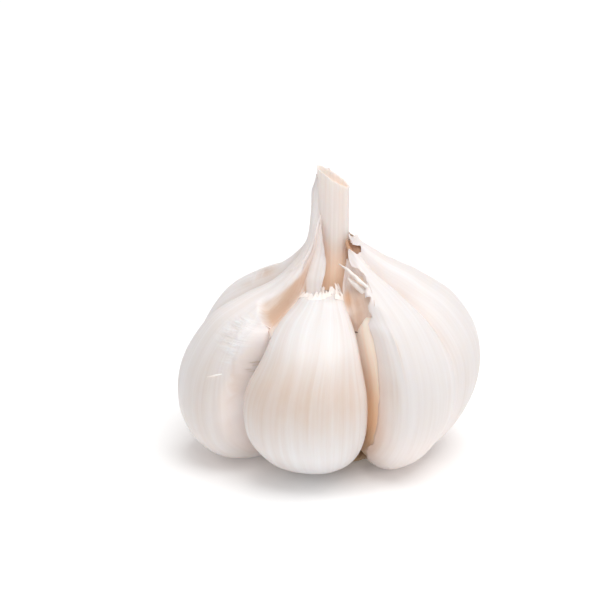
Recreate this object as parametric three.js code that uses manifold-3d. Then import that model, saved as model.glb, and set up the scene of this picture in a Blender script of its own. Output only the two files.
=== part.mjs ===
// Garlic bulb: seven cloves standing on a root plate round a cut stem, in a torn outer skin.
// Units are millimetres, +Z is up, and the origin is the middle of the root plate's flat underside.
// Angles are in degrees round the bulb, from the front (-Y) towards the right (+X).
import * as THREE from "three";
import Module from "manifold-3d";

const wasm = await Module();
wasm.setup();

// ---- Driving dimensions ----
const GAP = 0.3; // clearance between pieces that lie on each other
const SKIN = 0.6; // thickness of the outer skin
const REACH = 30; // radius of the standard bulb at its widest
const PLATE_RADIUS = 12.4; // root plate, to the outside of its rim
const PLATE_FLAT = 9.4; // the flat middle that the bulb stands on
const PLATE_HEIGHT = 2.2;
const STEM_RADIUS = 3.2;
const STEM_TOP = 56.2; // height of the cut on the stem's own axis
const STEM_LEAN = 0.35; // how far the cut end leans to the right
const CUT_SLOPE = -0.66; // rise of the cut face towards the right

// The bulb's outline from the root plate (station 1) over the belly (5) and shoulder (8) to the top
// of the neck (14), as [radius, height].
const OUTLINE = [
  [9.8, 3.4],
  [13.4, 2.2],
  [17.5, 0.3],
  [23.5, 2.6],
  [28.3, 8.4],
  [REACH, 15],
  [28.8, 22],
  [24.2, 28.6],
  [17.5, 32.8],
  [11.5, 35.6],
  [7.4, 39.2],
  [5.1, 43],
  [4.35, 47.5],
  [4.2, 52],
  [4.2, 57],
];
// A clove's inner edge, station by station, from its foot on the plate up along the stem to its tip.
const CLOVE_INNER = [
  [9.8, 3.4],
  [7.0, 3.4],
  [5.3, 4.6],
  [5.0, 8],
  [5.0, 12],
  [5.0, 16],
  [5.0, 20],
  [5.1, 24.5],
  [5.4, 29],
  [6.0, 33.4],
  [6.9, 37.2],
];
const TIP = CLOVE_INNER.length - 1;
const NECK_TOP = OUTLINE.length - 1;

// Each clove runs from its own crease to the next one. sway bends the crease sideways at mid height.
// The rest sets its size beside the standard outline: its reach, its height, how far its belly hangs
// down and how far its underside is lifted.
const CLOVES = [
  { name: "clove_front", from: -46, sway: -2, reach: 30.4, stretch: 0.94, drop: 0, lift: 0.9 },
  { name: "clove_right", from: 22, sway: 1, reach: 30.2, stretch: 1.1, drop: 0, lift: 0 },
  { name: "clove_right_side", from: 61, sway: -3, reach: 29.8, stretch: 1.12, drop: -1.8, lift: 0.2 },
  { name: "clove_back_right", from: 111, sway: 2, reach: 29, stretch: 1.08, drop: -0.9, lift: 0.1 },
  { name: "clove_back", from: 158, sway: -2, reach: 29.8, stretch: 1, drop: 0, lift: 0 },
  { name: "clove_back_left", from: 208, sway: 3, reach: 29.2, stretch: 1.03, drop: 1.2, lift: 0.5 },
  { name: "clove_left", from: 259, sway: 2, reach: 31, stretch: 1, drop: 2.6, lift: 0.6 },
];
const BARE = 0; // the front clove, which the skin has come away from
const BESIDE = [1, CLOVES.length - 1]; // its neighbours, whose flanks the skin wraps
const CLOVE_RINGS = 18;
const CLOVE_SIDES = 24;
const ROUND_OUTSIDE = 2.25; // superellipse powers of a clove's section: 2 is round
const ROUND_INSIDE = 2.8;
const COVERED_TIP = 0.96; // height of the other cloves' tips beside CLOVE_INNER
// The dry tail on the front clove's tip, as [x, y, z, radius].
const TAIL = [
  [-0.6, -8.2, 31.5, 1.5],
  [-0.8, -6.6, 34.6, 1.1],
  [-1.2, -5.2, 37.2, 0.6],
  [-1.5, -4.6, 39.4, 0.36],
];
const UNDERCUT = 2.2; // how far a clove's underside rises towards its sides

// ---- Small tools ----
const radians = THREE.MathUtils.degToRad;
const { clamp, smoothstep, lerp, seededRandom } = THREE.MathUtils;

/** A point at this angle round the bulb, radius and height. */
function around(angle, radius, height) {
  const a = radians(angle);
  return new THREE.Vector3(radius * Math.sin(a), -radius * Math.cos(a), height);
}

/** A smooth curve through [radius, height] pairs, one station apart. */
function curveThrough(pairs) {
  const points = pairs.map(([r, z]) => new THREE.Vector3(r, 0, z));
  const curve = new THREE.CatmullRomCurve3(points, false, "catmullrom", 0.5);
  return (station) => {
    const p = curve.getPoint(clamp(station / (pairs.length - 1), 0, 1));
    return [p.x, p.z];
  };
}

const OUTLINE_AT = curveThrough(OUTLINE);

/** The direction out of the standard outline at a station, as [radius, height]. */
function outwards(station) {
  const step = 0.02;
  const [r0, z0] = OUTLINE_AT(station - step);
  const [r1, z1] = OUTLINE_AT(station + step);
  const length = Math.hypot(r1 - r0, z1 - z0);
  return [(z1 - z0) / length, (r0 - r1) / length];
}

/** The standard outline moved in by a depth, then given a clove's size. */
function outline(station, depth, { reach, stretch, drop, lift }) {
  const [r, z] = OUTLINE_AT(station);
  const [nr, nz] = outwards(station);
  const [r0, z0] = [r - depth * nr, z - depth * nz];
  const belly = clamp((r0 - 13.4) / (REACH - 13.4), 0, 1);
  const tall = z0 * (1 + (stretch - 1) * (1 - smoothstep(z0, 33, 46)));
  const hang = drop * Math.sin(Math.PI * Math.pow(clamp(z0 / 30, 0, 1), 0.6));
  return [r0 + (reach - REACH) * belly, tall - hang + lift * (1 - smoothstep(z0, 0, 12))];
}

/** A closed mesh from rings of points with a pole at each end. */
function loft(first, rings, last) {
  const sides = rings[0].length;
  const points = [first, ...rings.flat(), last];
  const at = (ring, side) => 1 + ring * sides + (side % sides);
  const faces = [];
  for (let s = 0; s < sides; s++) {
    faces.push(0, at(0, s + 1), at(0, s));
    for (let k = 0; k + 1 < rings.length; k++) {
      faces.push(at(k, s), at(k, s + 1), at(k + 1, s));
      faces.push(at(k, s + 1), at(k + 1, s + 1), at(k + 1, s));
    }
    faces.push(points.length - 1, at(rings.length - 1, s), at(rings.length - 1, s + 1));
  }
  return closed(points, faces);
}

/** A BufferGeometry of these points and faces, turned so that its faces point out. */
function closed(points, faces) {
  const volume = (i) => points[faces[i]].dot(
    new THREE.Vector3().crossVectors(points[faces[i + 1]], points[faces[i + 2]]),
  );
  let total = 0;
  for (let i = 0; i < faces.length; i += 3) total += volume(i);
  if (total < 0) for (let i = 0; i < faces.length; i += 3) faces.splice(i, 2, faces[i + 1], faces[i]);
  const geometry = new THREE.BufferGeometry();
  geometry.setFromPoints(points);
  geometry.setIndex(faces);
  geometry.computeVertexNormals();
  return geometry;
}

/** A tapered rod along [x, y, z, radius] stations, with rounded ends. */
function rod(stations, sides) {
  const centres = stations.map(([x, y, z]) => new THREE.Vector3(x, y, z));
  const path = new THREE.CatmullRomCurve3(centres);
  const count = stations.length - 1;
  const across = new THREE.Vector3(0, 1, 0);
  const rings = [];
  for (let i = 0; i <= 4 * count; i++) {
    const t = i / (4 * count);
    const [k, f] = [Math.min(Math.floor(t * count), count - 1), t * count];
    const radius = lerp(stations[k][3], stations[k + 1][3], f - k);
    const side = new THREE.Vector3().crossVectors(path.getTangent(t), across).normalize();
    const front = new THREE.Vector3().crossVectors(side, path.getTangent(t)).normalize();
    const ring = [];
    for (let j = 0; j < sides; j++) {
      const a = (2 * Math.PI * j) / sides;
      const p = path.getPoint(t).addScaledVector(side, radius * Math.cos(a));
      ring.push(p.addScaledVector(front, radius * Math.sin(a)));
    }
    rings.push(ring);
  }
  const end = (t, k, way) => path.getPoint(t).addScaledVector(path.getTangent(t), way * stations[k][3]);
  return loft(end(0, 0, -0.6), rings, end(1, count, 0.6));
}

/** One solid from two that run into each other. */
function joined(first, second) {
  const solids = [first, second].map((geometry) => {
    const vertProperties = geometry.getAttribute("position").array;
    return new wasm.Manifold(
      new wasm.Mesh({ numProp: 3, vertProperties, triVerts: new Uint32Array(geometry.index.array) }),
    );
  });
  const mesh = solids[0].add(solids[1]).getMesh();
  const geometry = new THREE.BufferGeometry();
  geometry.setAttribute("position", new THREE.BufferAttribute(mesh.vertProperties, 3));
  geometry.setIndex(new THREE.BufferAttribute(mesh.triVerts, 1));
  geometry.computeVertexNormals();
  return geometry;
}

function piece(name, geometry, colour, roughness) {
  const material = new THREE.MeshStandardMaterial({ color: colour, roughness, metalness: 0 });
  const mesh = new THREE.Mesh(geometry, material);
  mesh.name = name;
  return mesh;
}

// ---- Cloves ----
/** The angle of a crease at a station: clove k's own first edge. */
function crease(k, station) {
  const clove = CLOVES[(k + CLOVES.length) % CLOVES.length];
  const turns = Math.floor(k / CLOVES.length) * 360;
  return clove.from + turns + clove.sway * Math.sin((Math.PI * clamp(station, 0, TIP)) / TIP);
}

/** How much of its sector clove k fills at a station: the bare one has broader shoulders. */
function fullness(k, station) {
  const t = clamp(station / TIP, 0, 1);
  if (k === BARE) return Math.pow(Math.max(Math.sin(Math.PI * Math.pow(t, 1.2)), 0), 0.13);
  const shoulder = 1 - 0.2 * Math.exp(-Math.pow((station - 8.2) / 1.1, 2));
  return Math.pow(Math.max(Math.sin(Math.PI * Math.pow(t, 0.85)), 0), 0.3) * shoulder;
}

/** The superellipse power of a clove's outer side. */
function roundness(k, station) {
  return ROUND_OUTSIDE + (k === BARE ? 0.6 * smoothstep(station, 6, 8.5) : 0);
}

const power = (value, exponent) => Math.sign(value) * Math.pow(Math.abs(value), exponent);

const CLOVE_INNER_AT = curveThrough(CLOVE_INNER);

/** A point on a clove's section, or a little outside it: turn runs round from its outer middle. */
function section(k, station, turn, depth, spread) {
  const clove = CLOVES[k];
  const c = Math.cos(turn);
  const s = Math.sin(turn);
  const rise = UNDERCUT * (1 - smoothstep(station, 1.5, 4.5)) * s * s;
  const [ro, zo] = outline(Math.min(station, TIP - 0.4), depth + rise, clove);
  const [ri, zi0] = CLOVE_INNER_AT(station);
  const zi = zi0 * lerp(1, k === BARE ? clove.stretch : COVERED_TIP, smoothstep(zi0, 6, 30));
  const close = smoothstep(station, TIP - 1, TIP);
  const n = c > 0 ? roundness(k, station) : ROUND_INSIDE;
  const share = 0.5 + 0.5 * power(c, 2 / n);
  const r = lerp(ri, lerp(ro, ri, close), share);
  const z = lerp(zi, lerp(zo, zi, close), share);
  const [low, high] = [crease(k, station), crease(k + 1, station)];
  const gap = THREE.MathUtils.radToDeg(Math.asin((GAP / 2 - spread) / r));
  const half = (high - low) / 2 - gap;
  return around((low + high) / 2 + half * fullness(k, station) * power(s, 2 / n), r, z);
}

/** A clove: rings round a line from its foot to its tip, flattened where it meets its neighbours. */
function cloveGeometry(k) {
  const depth = k === BARE ? 0 : SKIN + GAP + 0.05;
  const spread = BESIDE.includes(k) ? -SKIN - GAP : 0;
  const rings = [];
  for (let i = 1; i < CLOVE_RINGS; i++) {
    const t = i / CLOVE_RINGS;
    const station = TIP * lerp(t, (1 - Math.cos(Math.PI * t)) / 2, 0.6);
    const ring = [];
    for (let j = 0; j < CLOVE_SIDES; j++) {
      ring.push(section(k, station, (2 * Math.PI * j) / CLOVE_SIDES, depth, spread));
    }
    rings.push(ring);
  }
  const body = loft(section(k, 0, 0, depth, spread), rings, section(k, TIP, 0, depth, spread));
  return k === BARE ? joined(body, rod(TAIL, 8)) : body;
}

// ---- Root plate ----
/** The root plate: a flat disc, a groove and a rim of cut root stubs. */
function plateGeometry() {
  const sides = 60;
  const random = [];
  seededRandom(7);
  for (let i = 0; i < sides; i++) random.push(seededRandom());
  // [radius, height, how far the stubs stand out]
  const profile = [
    [PLATE_FLAT, 0, 0],
    [PLATE_FLAT + 0.5, 0.55, 0],
    [PLATE_FLAT + 1.3, 0.35, 0.35],
    [PLATE_FLAT + 2.2, 0.55, 0.5],
    [PLATE_RADIUS, 1.15, 0.4],
    [PLATE_RADIUS - 0.5, 1.65, 0.1],
    [PLATE_RADIUS - 2.2, PLATE_HEIGHT, 0],
  ];
  const rings = profile.map(([r, z, stub], k) => {
    const ring = [];
    for (let i = 0; i < sides; i++) {
      const bump = stub * (random[(i + 3 * k) % sides] - 0.75);
      ring.push(around((360 * (i + (k % 2) / 2)) / sides, r + bump, z - bump * 0.6));
    }
    return ring;
  });
  return loft(new THREE.Vector3(0, 0, 0), rings, new THREE.Vector3(0, 0, PLATE_HEIGHT));
}

// ---- Stem ----
/** The stem: a ribbed stalk with a slanted cut, sunk in the middle. */
function stemGeometry() {
  const sides = 24;
  const foot = PLATE_HEIGHT + GAP;
  const sunk = 1.3;
  // [share of the height, share of the radius, depth below the cut]
  const profile = [
    [0, 1.02, 0],
    [0.2, 1.0, 0],
    [0.4, 0.98, 0],
    [0.55, 0.97, 0],
    [0.7, 0.97, 0],
    [0.85, 0.99, 0],
    [1, 1.0, 0],
    [1, 0.76, 0.05],
    [1, 0.62, sunk],
  ];
  const at = (share, size, depth, angle) => {
    const rib = 1 + 0.025 * Math.cos(radians(angle * 6)) * Math.min(1, size);
    const p = around(angle, STEM_RADIUS * size * rib, 0);
    p.x += STEM_LEAN * share;
    p.z = foot + share * (STEM_TOP + CUT_SLOPE * p.x - foot) - depth;
    return p;
  };
  const rings = profile.map(([share, size, depth]) => {
    const ring = [];
    for (let i = 0; i < sides; i++) ring.push(at(share, size, depth, (360 * i) / sides));
    return ring;
  });
  return loft(at(0, 0, 0, 0), rings, at(1, 0, sunk, 0));
}

// ---- Outer skin ----
// How far the skin sinks between two cloves, station by station.
const SAG = [0.3, 0.3, 0.5, 0.9, 1.3, 1.6, 2, 2.8, 3.4, 3, 1.6, 0.7, 0.2, 0, 0];
const SAG_LEFT = [0.3, 0.3, 0.5, 0.9, 1.3, 1.6, 2, 2.8, 3.1, 1.7, 1, 0.7, 0.2, 0, 0];
const SAG_RIGHT = [0.3, 0.3, 0.5, 0.9, 1.3, 1.6, 2, 3.4, 4.6, 4, 1.8, 0.8, 0.2, 0, 0];
const SAG_BEHIND = [0.3, 0.3, 0.5, 0.9, 1.6, 2.4, 3.2, 4.2, 4.8, 3.8, 1.8, 0.7, 0.2, 0, 0];
// Where the skin folds down beside the front clove, as [station, share of the way to the crease].
const LEFT_FOLD = [
  [7, 0.9], [7.6, 0.88], [7.95, 0.8], [8.25, 0.6], [8.5, 0.72], [9, 0.78], [9.4, 0.9], [10, 0.95],
];
const RIGHT_FOLD = [
  [7.2, 0.9], [7.5, 0.8], [7.9, 0.8], [8.1, 0.64], [8.35, 0.75], [8.65, 0.4], [9.3, 0.28],
  [10, 0.1], [10.7, 0],
];
const LOW_VEIL = 0.99; // height of the skin over the front clove's crown, beside the outline
// The skin's columns, as [from this angle, so far apart]: close where it turns round a flank.
const SKIN_COLUMNS = [[12, 1.2], [33, 3], [46, 5], [301, 2.2], [310, 1.3], [324, 2.6], [355, 0]];
const SKIN_ROWS = [[1.05, 0.42], [9.9, 0.2], [11.5, 0.45], [NECK_TOP, 0]]; // stations, likewise

/** Reads a list of [station, value] pairs at a station, with straight runs between them. */
function along(pairs, station) {
  let k = 0;
  while (k < pairs.length - 2 && station > pairs[k + 1][0]) k++;
  const [[s0, v0], [s1, v1]] = [pairs[k], pairs[k + 1]];
  return lerp(v0, v1, clamp((station - s0) / (s1 - s0), 0, 1));
}

// The torn edges of the skin, as [station, degrees from the crease on that side of the front clove].
const LEFT_EDGE = [
  [1, -11], [2, -3], [3, -0.8], [4, -0.4], [5, -0.4], [6, -0.4], [6.8, -0.3], [7.05, 0.3],
  [7.2, 3], [7.5, 5], [8, 7], [8.5, 9], [8.8, 14], [9.05, 30], [9.3, 38], [10.2, 38.5],
  [10.8, 32], [11.65, 20], [12.4, 7], [13.25, 1.5], [14, -5],
];
const RIGHT_EDGE = [
  [1, 9], [2, 4.5], [3, 1.4], [4, 1.5], [5, 1.1], [6, 1.4], [6.7, 0.8], [7.05, 0.4], [7.2, -2],
  [7.4, -4.5], [8, -6.5], [8.5, -8], [9, -9], [9.4, -7], [9.8, 0], [10.2, 8], [10.7, 18],
  [11.2, 26],
];
// The skin's top edge round the stem, as [angle, station]: torn off low on the right, whole behind.
const TOP_EDGE = [
  [20, 9.6], [34, 10.9], [44, 11.4], [56, 11.45], [66, 11.4], [78, 11.3], [90, 11.3], [104, 11.1],
  [120, 11.2], [140, 11.3], [156, 12.1], [170, 13.2], [190, 13.9], [230, 14], [280, 13.8],
  [345, 13.9],
];
const HOLE = { angle: 58, station: 10.75, width: 17, height: 0.38 };
// The roll of torn skin across the opening, as [x, y, z, radius].
const CURL = [
  [1.4, -4.6, 39.5, 0.4],
  [3.4, -6.0, 38.9, 0.6],
  [5.2, -7.2, 38.6, 0.7],
  [7.6, -8.6, 38.9, 0.6],
];

/** Which clove a skin point lies over, and how far it is from that clove's middle, from -1 to 1. */
function over(angle, station) {
  for (let k = 0; k <= CLOVES.length; k++) {
    const [low, high] = [crease(k, station), crease(k + 1, station)];
    if (angle < high) return [k % CLOVES.length, (2 * (angle - low)) / (high - low) - 1];
  }
  return [0, 0];
}

/** The outline's size over a clove: over the bare one it comes down on the crown. */
function skinSize(k, station) {
  if (k !== BARE) return CLOVES[k];
  return { reach: REACH, stretch: lerp(LOW_VEIL, 1.04, smoothstep(station, 9.2, 10.3)), drop: 0, lift: 0 };
}

/** How far the skin sinks towards the crease beside it, deepest in the folds by the opening. */
function fall(k, x, station) {
  const last = CLOVES.length - 1;
  const beside = x > 0 ? (k + 1) % CLOVES.length : k;
  const sag = { 0: SAG_LEFT, 1: SAG_RIGHT, [last]: SAG_BEHIND }[beside] ?? SAG;
  const depth = along(sag.map((value, i) => [i, value]), station);
  const round = Math.pow(Math.abs(x), 2.6);
  const left = k === last && x > 0;
  if (!left && !(k === 1 && x < 0)) return depth * round;
  const start = along(left ? LEFT_FOLD : RIGHT_FOLD, station);
  const fold = Math.pow(clamp((Math.abs(x) - start) / (1 - start), 0, 1), 1.1);
  return depth * lerp(round, fold, smoothstep(station, 6.6, 7.4));
}

/** A point of the skin where it bridges from clove to clove and runs up into the neck. */
function bridge(k, x, angle, station, depth) {
  const own = skinSize(k, station);
  const near = skinSize((k + Math.sign(x) + CLOVES.length) % CLOVES.length, station);
  const share = 0.5 * smoothstep(Math.abs(x), 0.2, 1);
  const size = {};
  for (const key of ["reach", "stretch", "drop", "lift"]) size[key] = lerp(own[key], near[key], share);
  const [r, z] = outline(station, depth + fall(k, x, station), size);
  const p = around(angle, r, z);
  p.x += STEM_LEAN * smoothstep(z, 38, 56);
  return p;
}

/** A point of the skin where it lies on a clove's flank beside the opening. */
function wrap(k, x, station, depth) {
  const s = Math.min(Math.abs(x) / fullness(k, station), 0.995);
  const turn = Math.sign(x) * Math.asin(Math.pow(s, roundness(k, station) / 2));
  const above = k === BARE ? SKIN + GAP + 0.05 : 0;
  return section(k, station, turn, depth - above, above - depth);
}

/** A point of the skin at an angle and station, this deep below its outer face. */
function skinPoint(angle, station, depth) {
  const [k, x] = over(angle, station);
  const free = bridge(k, x, angle, station, depth);
  const beside = (k === BESIDE[0] && x < 0) || (k === BESIDE[1] && x > 0);
  const hug = beside ? smoothstep(Math.abs(x), 0, 0.5) * (1 - smoothstep(station, 6.2, 7.05)) : 0;
  const climb = k === BARE ? smoothstep(1 - Math.abs(x), 0, 0.24) * smoothstep(station, 6.9, 7.2) : 0;
  const share = Math.max(hug, climb * (1 - smoothstep(station, 9.1, 9.7)));
  return share > 0 ? free.lerp(wrap(k, x, station, depth), share) : free;
}

/** Above zero where there is skin, in degrees or so from its nearest edge. */
function skinLeft(angle, station) {
  const fromRight = angle - crease(1, station) - along(RIGHT_EDGE, station);
  const fromLeft = crease(CLOVES.length, station) + along(LEFT_EDGE, station) - angle;
  const fromTop = (along(TOP_EDGE, angle) - station) * 14;
  const { angle: a, station: v, width, height } = HOLE;
  const fromHole = (Math.hypot((angle - a) / width, (station - v) / height) - 1) * 7;
  return Math.min(fromRight, fromLeft, fromTop, fromHole);
}

/** A closed thin solid over the part of a grid where inside(u, v) is above zero. */
function sheetGeometry(us, vs, inside, pointAt) {
  const keys = new Map();
  const places = [];
  const place = (key, u, v) => {
    if (!keys.has(key)) {
      keys.set(key, places.length);
      places.push([u, v]);
    }
    return keys.get(key);
  };
  const value = us.map((u) => vs.map((v) => inside(u, v)));
  const corner = (i, j) => place(`${i},${j}`, us[i], vs[j]);
  const cut = (i, j, k, l) => {
    const [a, b] = [value[i][j], value[k][l]];
    const t = clamp(a / (a - b), 0.12, 0.88);
    const key = i < k || j < l ? `${i},${j}-${k},${l}` : `${k},${l}-${i},${j}`;
    return place(key, lerp(us[i], us[k], t), lerp(vs[j], vs[l], t));
  };
  const faces = [];
  for (let i = 0; i + 1 < us.length; i++) {
    for (let j = 0; j + 1 < vs.length; j++) {
      const round = [[i, j], [i + 1, j], [i + 1, j + 1], [i, j + 1]];
      const ring = [];
      round.forEach(([a, b], n) => {
        const [c, d] = round[(n + 1) % 4];
        const [here, next] = [value[a][b] > 0, value[c][d] > 0];
        if (here) ring.push(corner(a, b));
        if (here !== next) ring.push(cut(a, b, c, d));
      });
      for (let n = 1; n + 1 < ring.length; n++) faces.push([ring[0], ring[n], ring[n + 1]]);
    }
  }
  const used = new Set();
  for (const f of faces) for (let n = 0; n < 3; n++) used.add(`${f[n]},${f[(n + 1) % 3]}`);
  const size = places.length;
  const points = [0, SKIN].flatMap((depth) => places.map(([u, v]) => pointAt(u, v, depth)));
  const all = [];
  for (const [a, b, c] of faces) {
    all.push(a, b, c, size + a, size + c, size + b);
    for (const [p, q] of [[a, b], [b, c], [c, a]]) {
      if (!used.has(`${q},${p}`)) all.push(p, size + p, q, q, size + p, size + q);
    }
  }
  return closed(points, all);
}

/** Numbers from the first to the last of these [number, step] pairs. */
function spaced(pairs) {
  const numbers = [];
  for (let i = 0; i + 1 < pairs.length; i++) {
    const [[from, step], [to]] = [pairs[i], pairs[i + 1]];
    const count = Math.round((to - from) / step);
    for (let j = 0; j < count; j++) numbers.push(lerp(from, to, j / count));
  }
  return [...numbers, pairs[pairs.length - 1][0]];
}

function skinGeometry() {
  const sheet = sheetGeometry(spaced(SKIN_COLUMNS), spaced(SKIN_ROWS), skinLeft, skinPoint);
  return joined(sheet, rod(CURL, 8));
}

// ---- Assembly ----
const bulb = new THREE.Group();
bulb.add(piece("root_plate", plateGeometry(), "#d8bf9e", 0.95));
bulb.add(piece("stem", stemGeometry(), "#e6d8c6", 0.6));
CLOVES.forEach((clove, k) => bulb.add(piece(clove.name, cloveGeometry(k), "#efe4d8", 0.4)));
bulb.add(piece("outer_skin", skinGeometry(), "#f3eeea", 0.55));

export default bulb;
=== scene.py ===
"""Dressed garlic bulb: plump cloves on a root plate round a cut stem, in a torn papery skin.

Sizes are in millimetres and angles in degrees round the bulb, from the front (-Y) towards the
right (+X). A station runs along the bulb's outline, from the root plate (0) over the belly (5) to
the top of the neck (14). Meshes are turned to metres as they are made.
"""

from __future__ import annotations

import logging
import math
from dataclasses import dataclass, field, replace
from enum import Enum

import bpy
import numpy as np
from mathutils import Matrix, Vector


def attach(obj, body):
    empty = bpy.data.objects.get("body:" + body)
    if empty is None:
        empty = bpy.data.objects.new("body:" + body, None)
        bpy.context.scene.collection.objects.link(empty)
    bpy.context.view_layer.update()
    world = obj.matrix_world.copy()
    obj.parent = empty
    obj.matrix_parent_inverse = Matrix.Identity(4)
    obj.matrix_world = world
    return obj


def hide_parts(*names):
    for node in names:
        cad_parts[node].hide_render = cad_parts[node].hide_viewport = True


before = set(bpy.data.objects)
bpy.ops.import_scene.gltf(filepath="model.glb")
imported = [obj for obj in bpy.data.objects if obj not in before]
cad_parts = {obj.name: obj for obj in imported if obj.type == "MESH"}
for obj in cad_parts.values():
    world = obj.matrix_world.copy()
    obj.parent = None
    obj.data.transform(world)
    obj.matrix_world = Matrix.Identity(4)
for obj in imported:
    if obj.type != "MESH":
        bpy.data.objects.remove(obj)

LOG = logging.getLogger("garlic")
MM = 0.001
Colour = tuple[float, float, float, float]
Array = np.ndarray
Faces = list[tuple[int, ...]]
Pairs = tuple[tuple[float, float], ...]
Point = tuple[float, float, float]


def lerp(a: Array | float, b: Array | float, share: Array | float) -> Array:
    """The value this share of the way from a to b."""
    return a + (b - a) * share


def smoothstep(value: Array | float, low: float, high: float) -> Array:
    """Rises smoothly from 0 at low to 1 at high.

    Args:
        value: the values to map.
        low: where the rise begins.
        high: where it ends.

    Returns:
        The share at each value.
    """
    t = np.clip((np.asarray(value, float) - low) / (high - low), 0.0, 1.0)
    return t * t * (3.0 - 2.0 * t)


def bell(value: Array, middle: float, width: float) -> Array:
    """1 at the middle and about a third one width away."""
    return np.exp(-(((value - middle) / width) ** 2))


def along(pairs: Pairs, at: Array) -> Array:
    """Reads a table of (place, value) pairs, with straight runs between them.

    Args:
        pairs: the table.
        at: the places to read it at.

    Returns:
        The values there.
    """
    table = np.array(pairs, float)
    return np.interp(at, table[:, 0], table[:, 1])


def together(*parts: Array | float) -> Array:
    """Points from their coordinates, stretched to one shape."""
    return np.stack(np.broadcast_arrays(*parts), -1)


def apart(points: Array) -> Array:
    """The coordinates of points, one after the other."""
    return np.moveaxis(points, -1, 0)


def unit(vectors: Array) -> Array:
    """The vectors, each one long."""
    shortest = 1e-9
    return vectors / np.maximum(np.linalg.norm(vectors, axis=-1), shortest)[..., None]


def tint(red: int, green: int, blue: int) -> Colour:
    """A screen colour, 0 to 255 a channel, as the linear colour that shaders take."""
    parts = [c / 255 for c in (red, green, blue)]
    return (*[c / 12.92 if c <= 0.04045 else ((c + 0.055) / 1.055) ** 2.4 for c in parts], 1.0)


class Waver:
    """Smooth seeded noise from -1 to 1 over two numbers."""

    size = 64

    def __init__(self, seed: int) -> None:
        """Draws the noise's table of random values."""
        self.table = np.random.default_rng(seed).uniform(-1.0, 1.0, (self.size, self.size))

    def at(self, across: Array | float, up: Array | float) -> Array:
        """The noise at a place, whose bumps are one unit apart.

        Args:
            across: the first number at each place.
            up: the second.

        Returns:
            The noise there.
        """
        i, j = np.floor(across).astype(int), np.floor(up).astype(int)
        s, t = smoothstep(across - i, 0, 1), smoothstep(up - j, 0, 1)
        low, high = (
            lerp(self.table[i % self.size, n % self.size], self.table[(i + 1) % self.size, n % self.size], s)
            for n in (j, j + 1)
        )
        return lerp(low, high, t)

    def rough(self, across: Array | float, up: Array | float, layers: int = 3) -> Array:
        """Layers of noise, each twice as fine and half as strong.

        Args:
            across: the first number at each place.
            up: the second.
            layers: how many layers there are.

        Returns:
            Their sum, about from -1 to 1.
        """
        total = sum(self.at(across * 2**n + 7 * n, up * 2**n + 3 * n) / 2**n for n in range(layers))
        return total / (2 - 2 ** (1 - layers))


class Slot(Enum):
    """The record's material slots."""

    ROOT = "root"
    STEM = "stem"
    CLOVE = "clove"
    SKIN = "skin"


# ---- Meshes ----
# Shares on each point. deep also drives a painted glow where a finish has one, and painted_light is a painted
# glow that lifts shade.
SHARES = ("warm", "deep", "creased", "painted_light")


def linked(name: str, data: bpy.types.ID) -> bpy.types.Object:
    """A new object at the origin, in the scene.

    Args:
        name: its name.
        data: its mesh, light or camera.

    Returns:
        The object.
    """
    made = bpy.data.objects.new(name, data)
    bpy.context.scene.collection.objects.link(made)
    return made


def carry(mesh: bpy.types.Mesh, key: str, vectors: Array | float) -> None:
    """Writes a vector on each point of a mesh.

    Args:
        mesh: the mesh to write on.
        key: the name to write them under.
        vectors: one vector a point, or one number for all.
    """
    values = np.ascontiguousarray(np.broadcast_to(vectors, (len(mesh.vertices), 3)), np.float32)
    mesh.attributes.new(key, "FLOAT_VECTOR", "POINT").data.foreach_set("vector", values.ravel())


def flipped(faces: Faces) -> Faces:
    """The same faces, seen from their other side."""
    return [tuple(reversed(face)) for face in faces]


@dataclass
class Shell:
    """Points, faces and the values on each point that a finish reads.

    The flow lays out the veins. Of the shares, from 0 to 1, warm and deep bring in the two darker
    colours, partly as painted shade in hollows and creases; deep also feeds a painted glow where the
    finish has one. Creased brings crinkles with a painted highlight along them, and painted_light is a
    painted glow that lifts shade.
    """

    points: Array
    faces: Faces
    flow: Array | float = 0.0
    warm: Array | float = 0.0
    deep: Array | float = 0.0
    creased: Array | float = 0.0
    painted_light: Array | float = 0.0

    @classmethod
    def lofted(cls, rings: Array, flip: bool = False, **values: Array) -> Shell:
        """Closes rings of points into a shell.

        Args:
            rings: points by ring and side.
            flip: whether the rings run the other way round.
            **values: the shell's values, by ring and side.

        Returns:
            The shell.
        """
        points, faces = loft(rings)
        return cls(points, flipped(faces) if flip else faces, **{key: ends(v) for key, v in values.items()})

    def piece(self, name: str, material: bpy.types.Material) -> bpy.types.Object:
        """Makes the mesh object.

        Args:
            name: the piece's name.
            material: its finish.

        Returns:
            The new object, in the scene.

        Raises:
            ValueError: if a point or a value on it isn't a number.
        """
        for key in ("points", "flow", *SHARES):
            if not np.isfinite(getattr(self, key)).all():
                raise ValueError(f"{name}: {key} holds something that isn't a number")
        mesh = bpy.data.meshes.new(name)
        mesh.from_pydata((self.points * MM).tolist(), [], self.faces)
        mesh.polygons.foreach_set("use_smooth", [True] * len(mesh.polygons))
        carry(mesh, "flow", self.flow)
        for key in SHARES:
            values = np.clip(np.broadcast_to(getattr(self, key), len(self.points)), 0.0, 1.0)
            mesh.attributes.new(key, "FLOAT", "POINT").data.foreach_set("value", values.astype(np.float32))
        mesh.materials.append(material)
        mesh.update()
        return linked(name, mesh)


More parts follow.
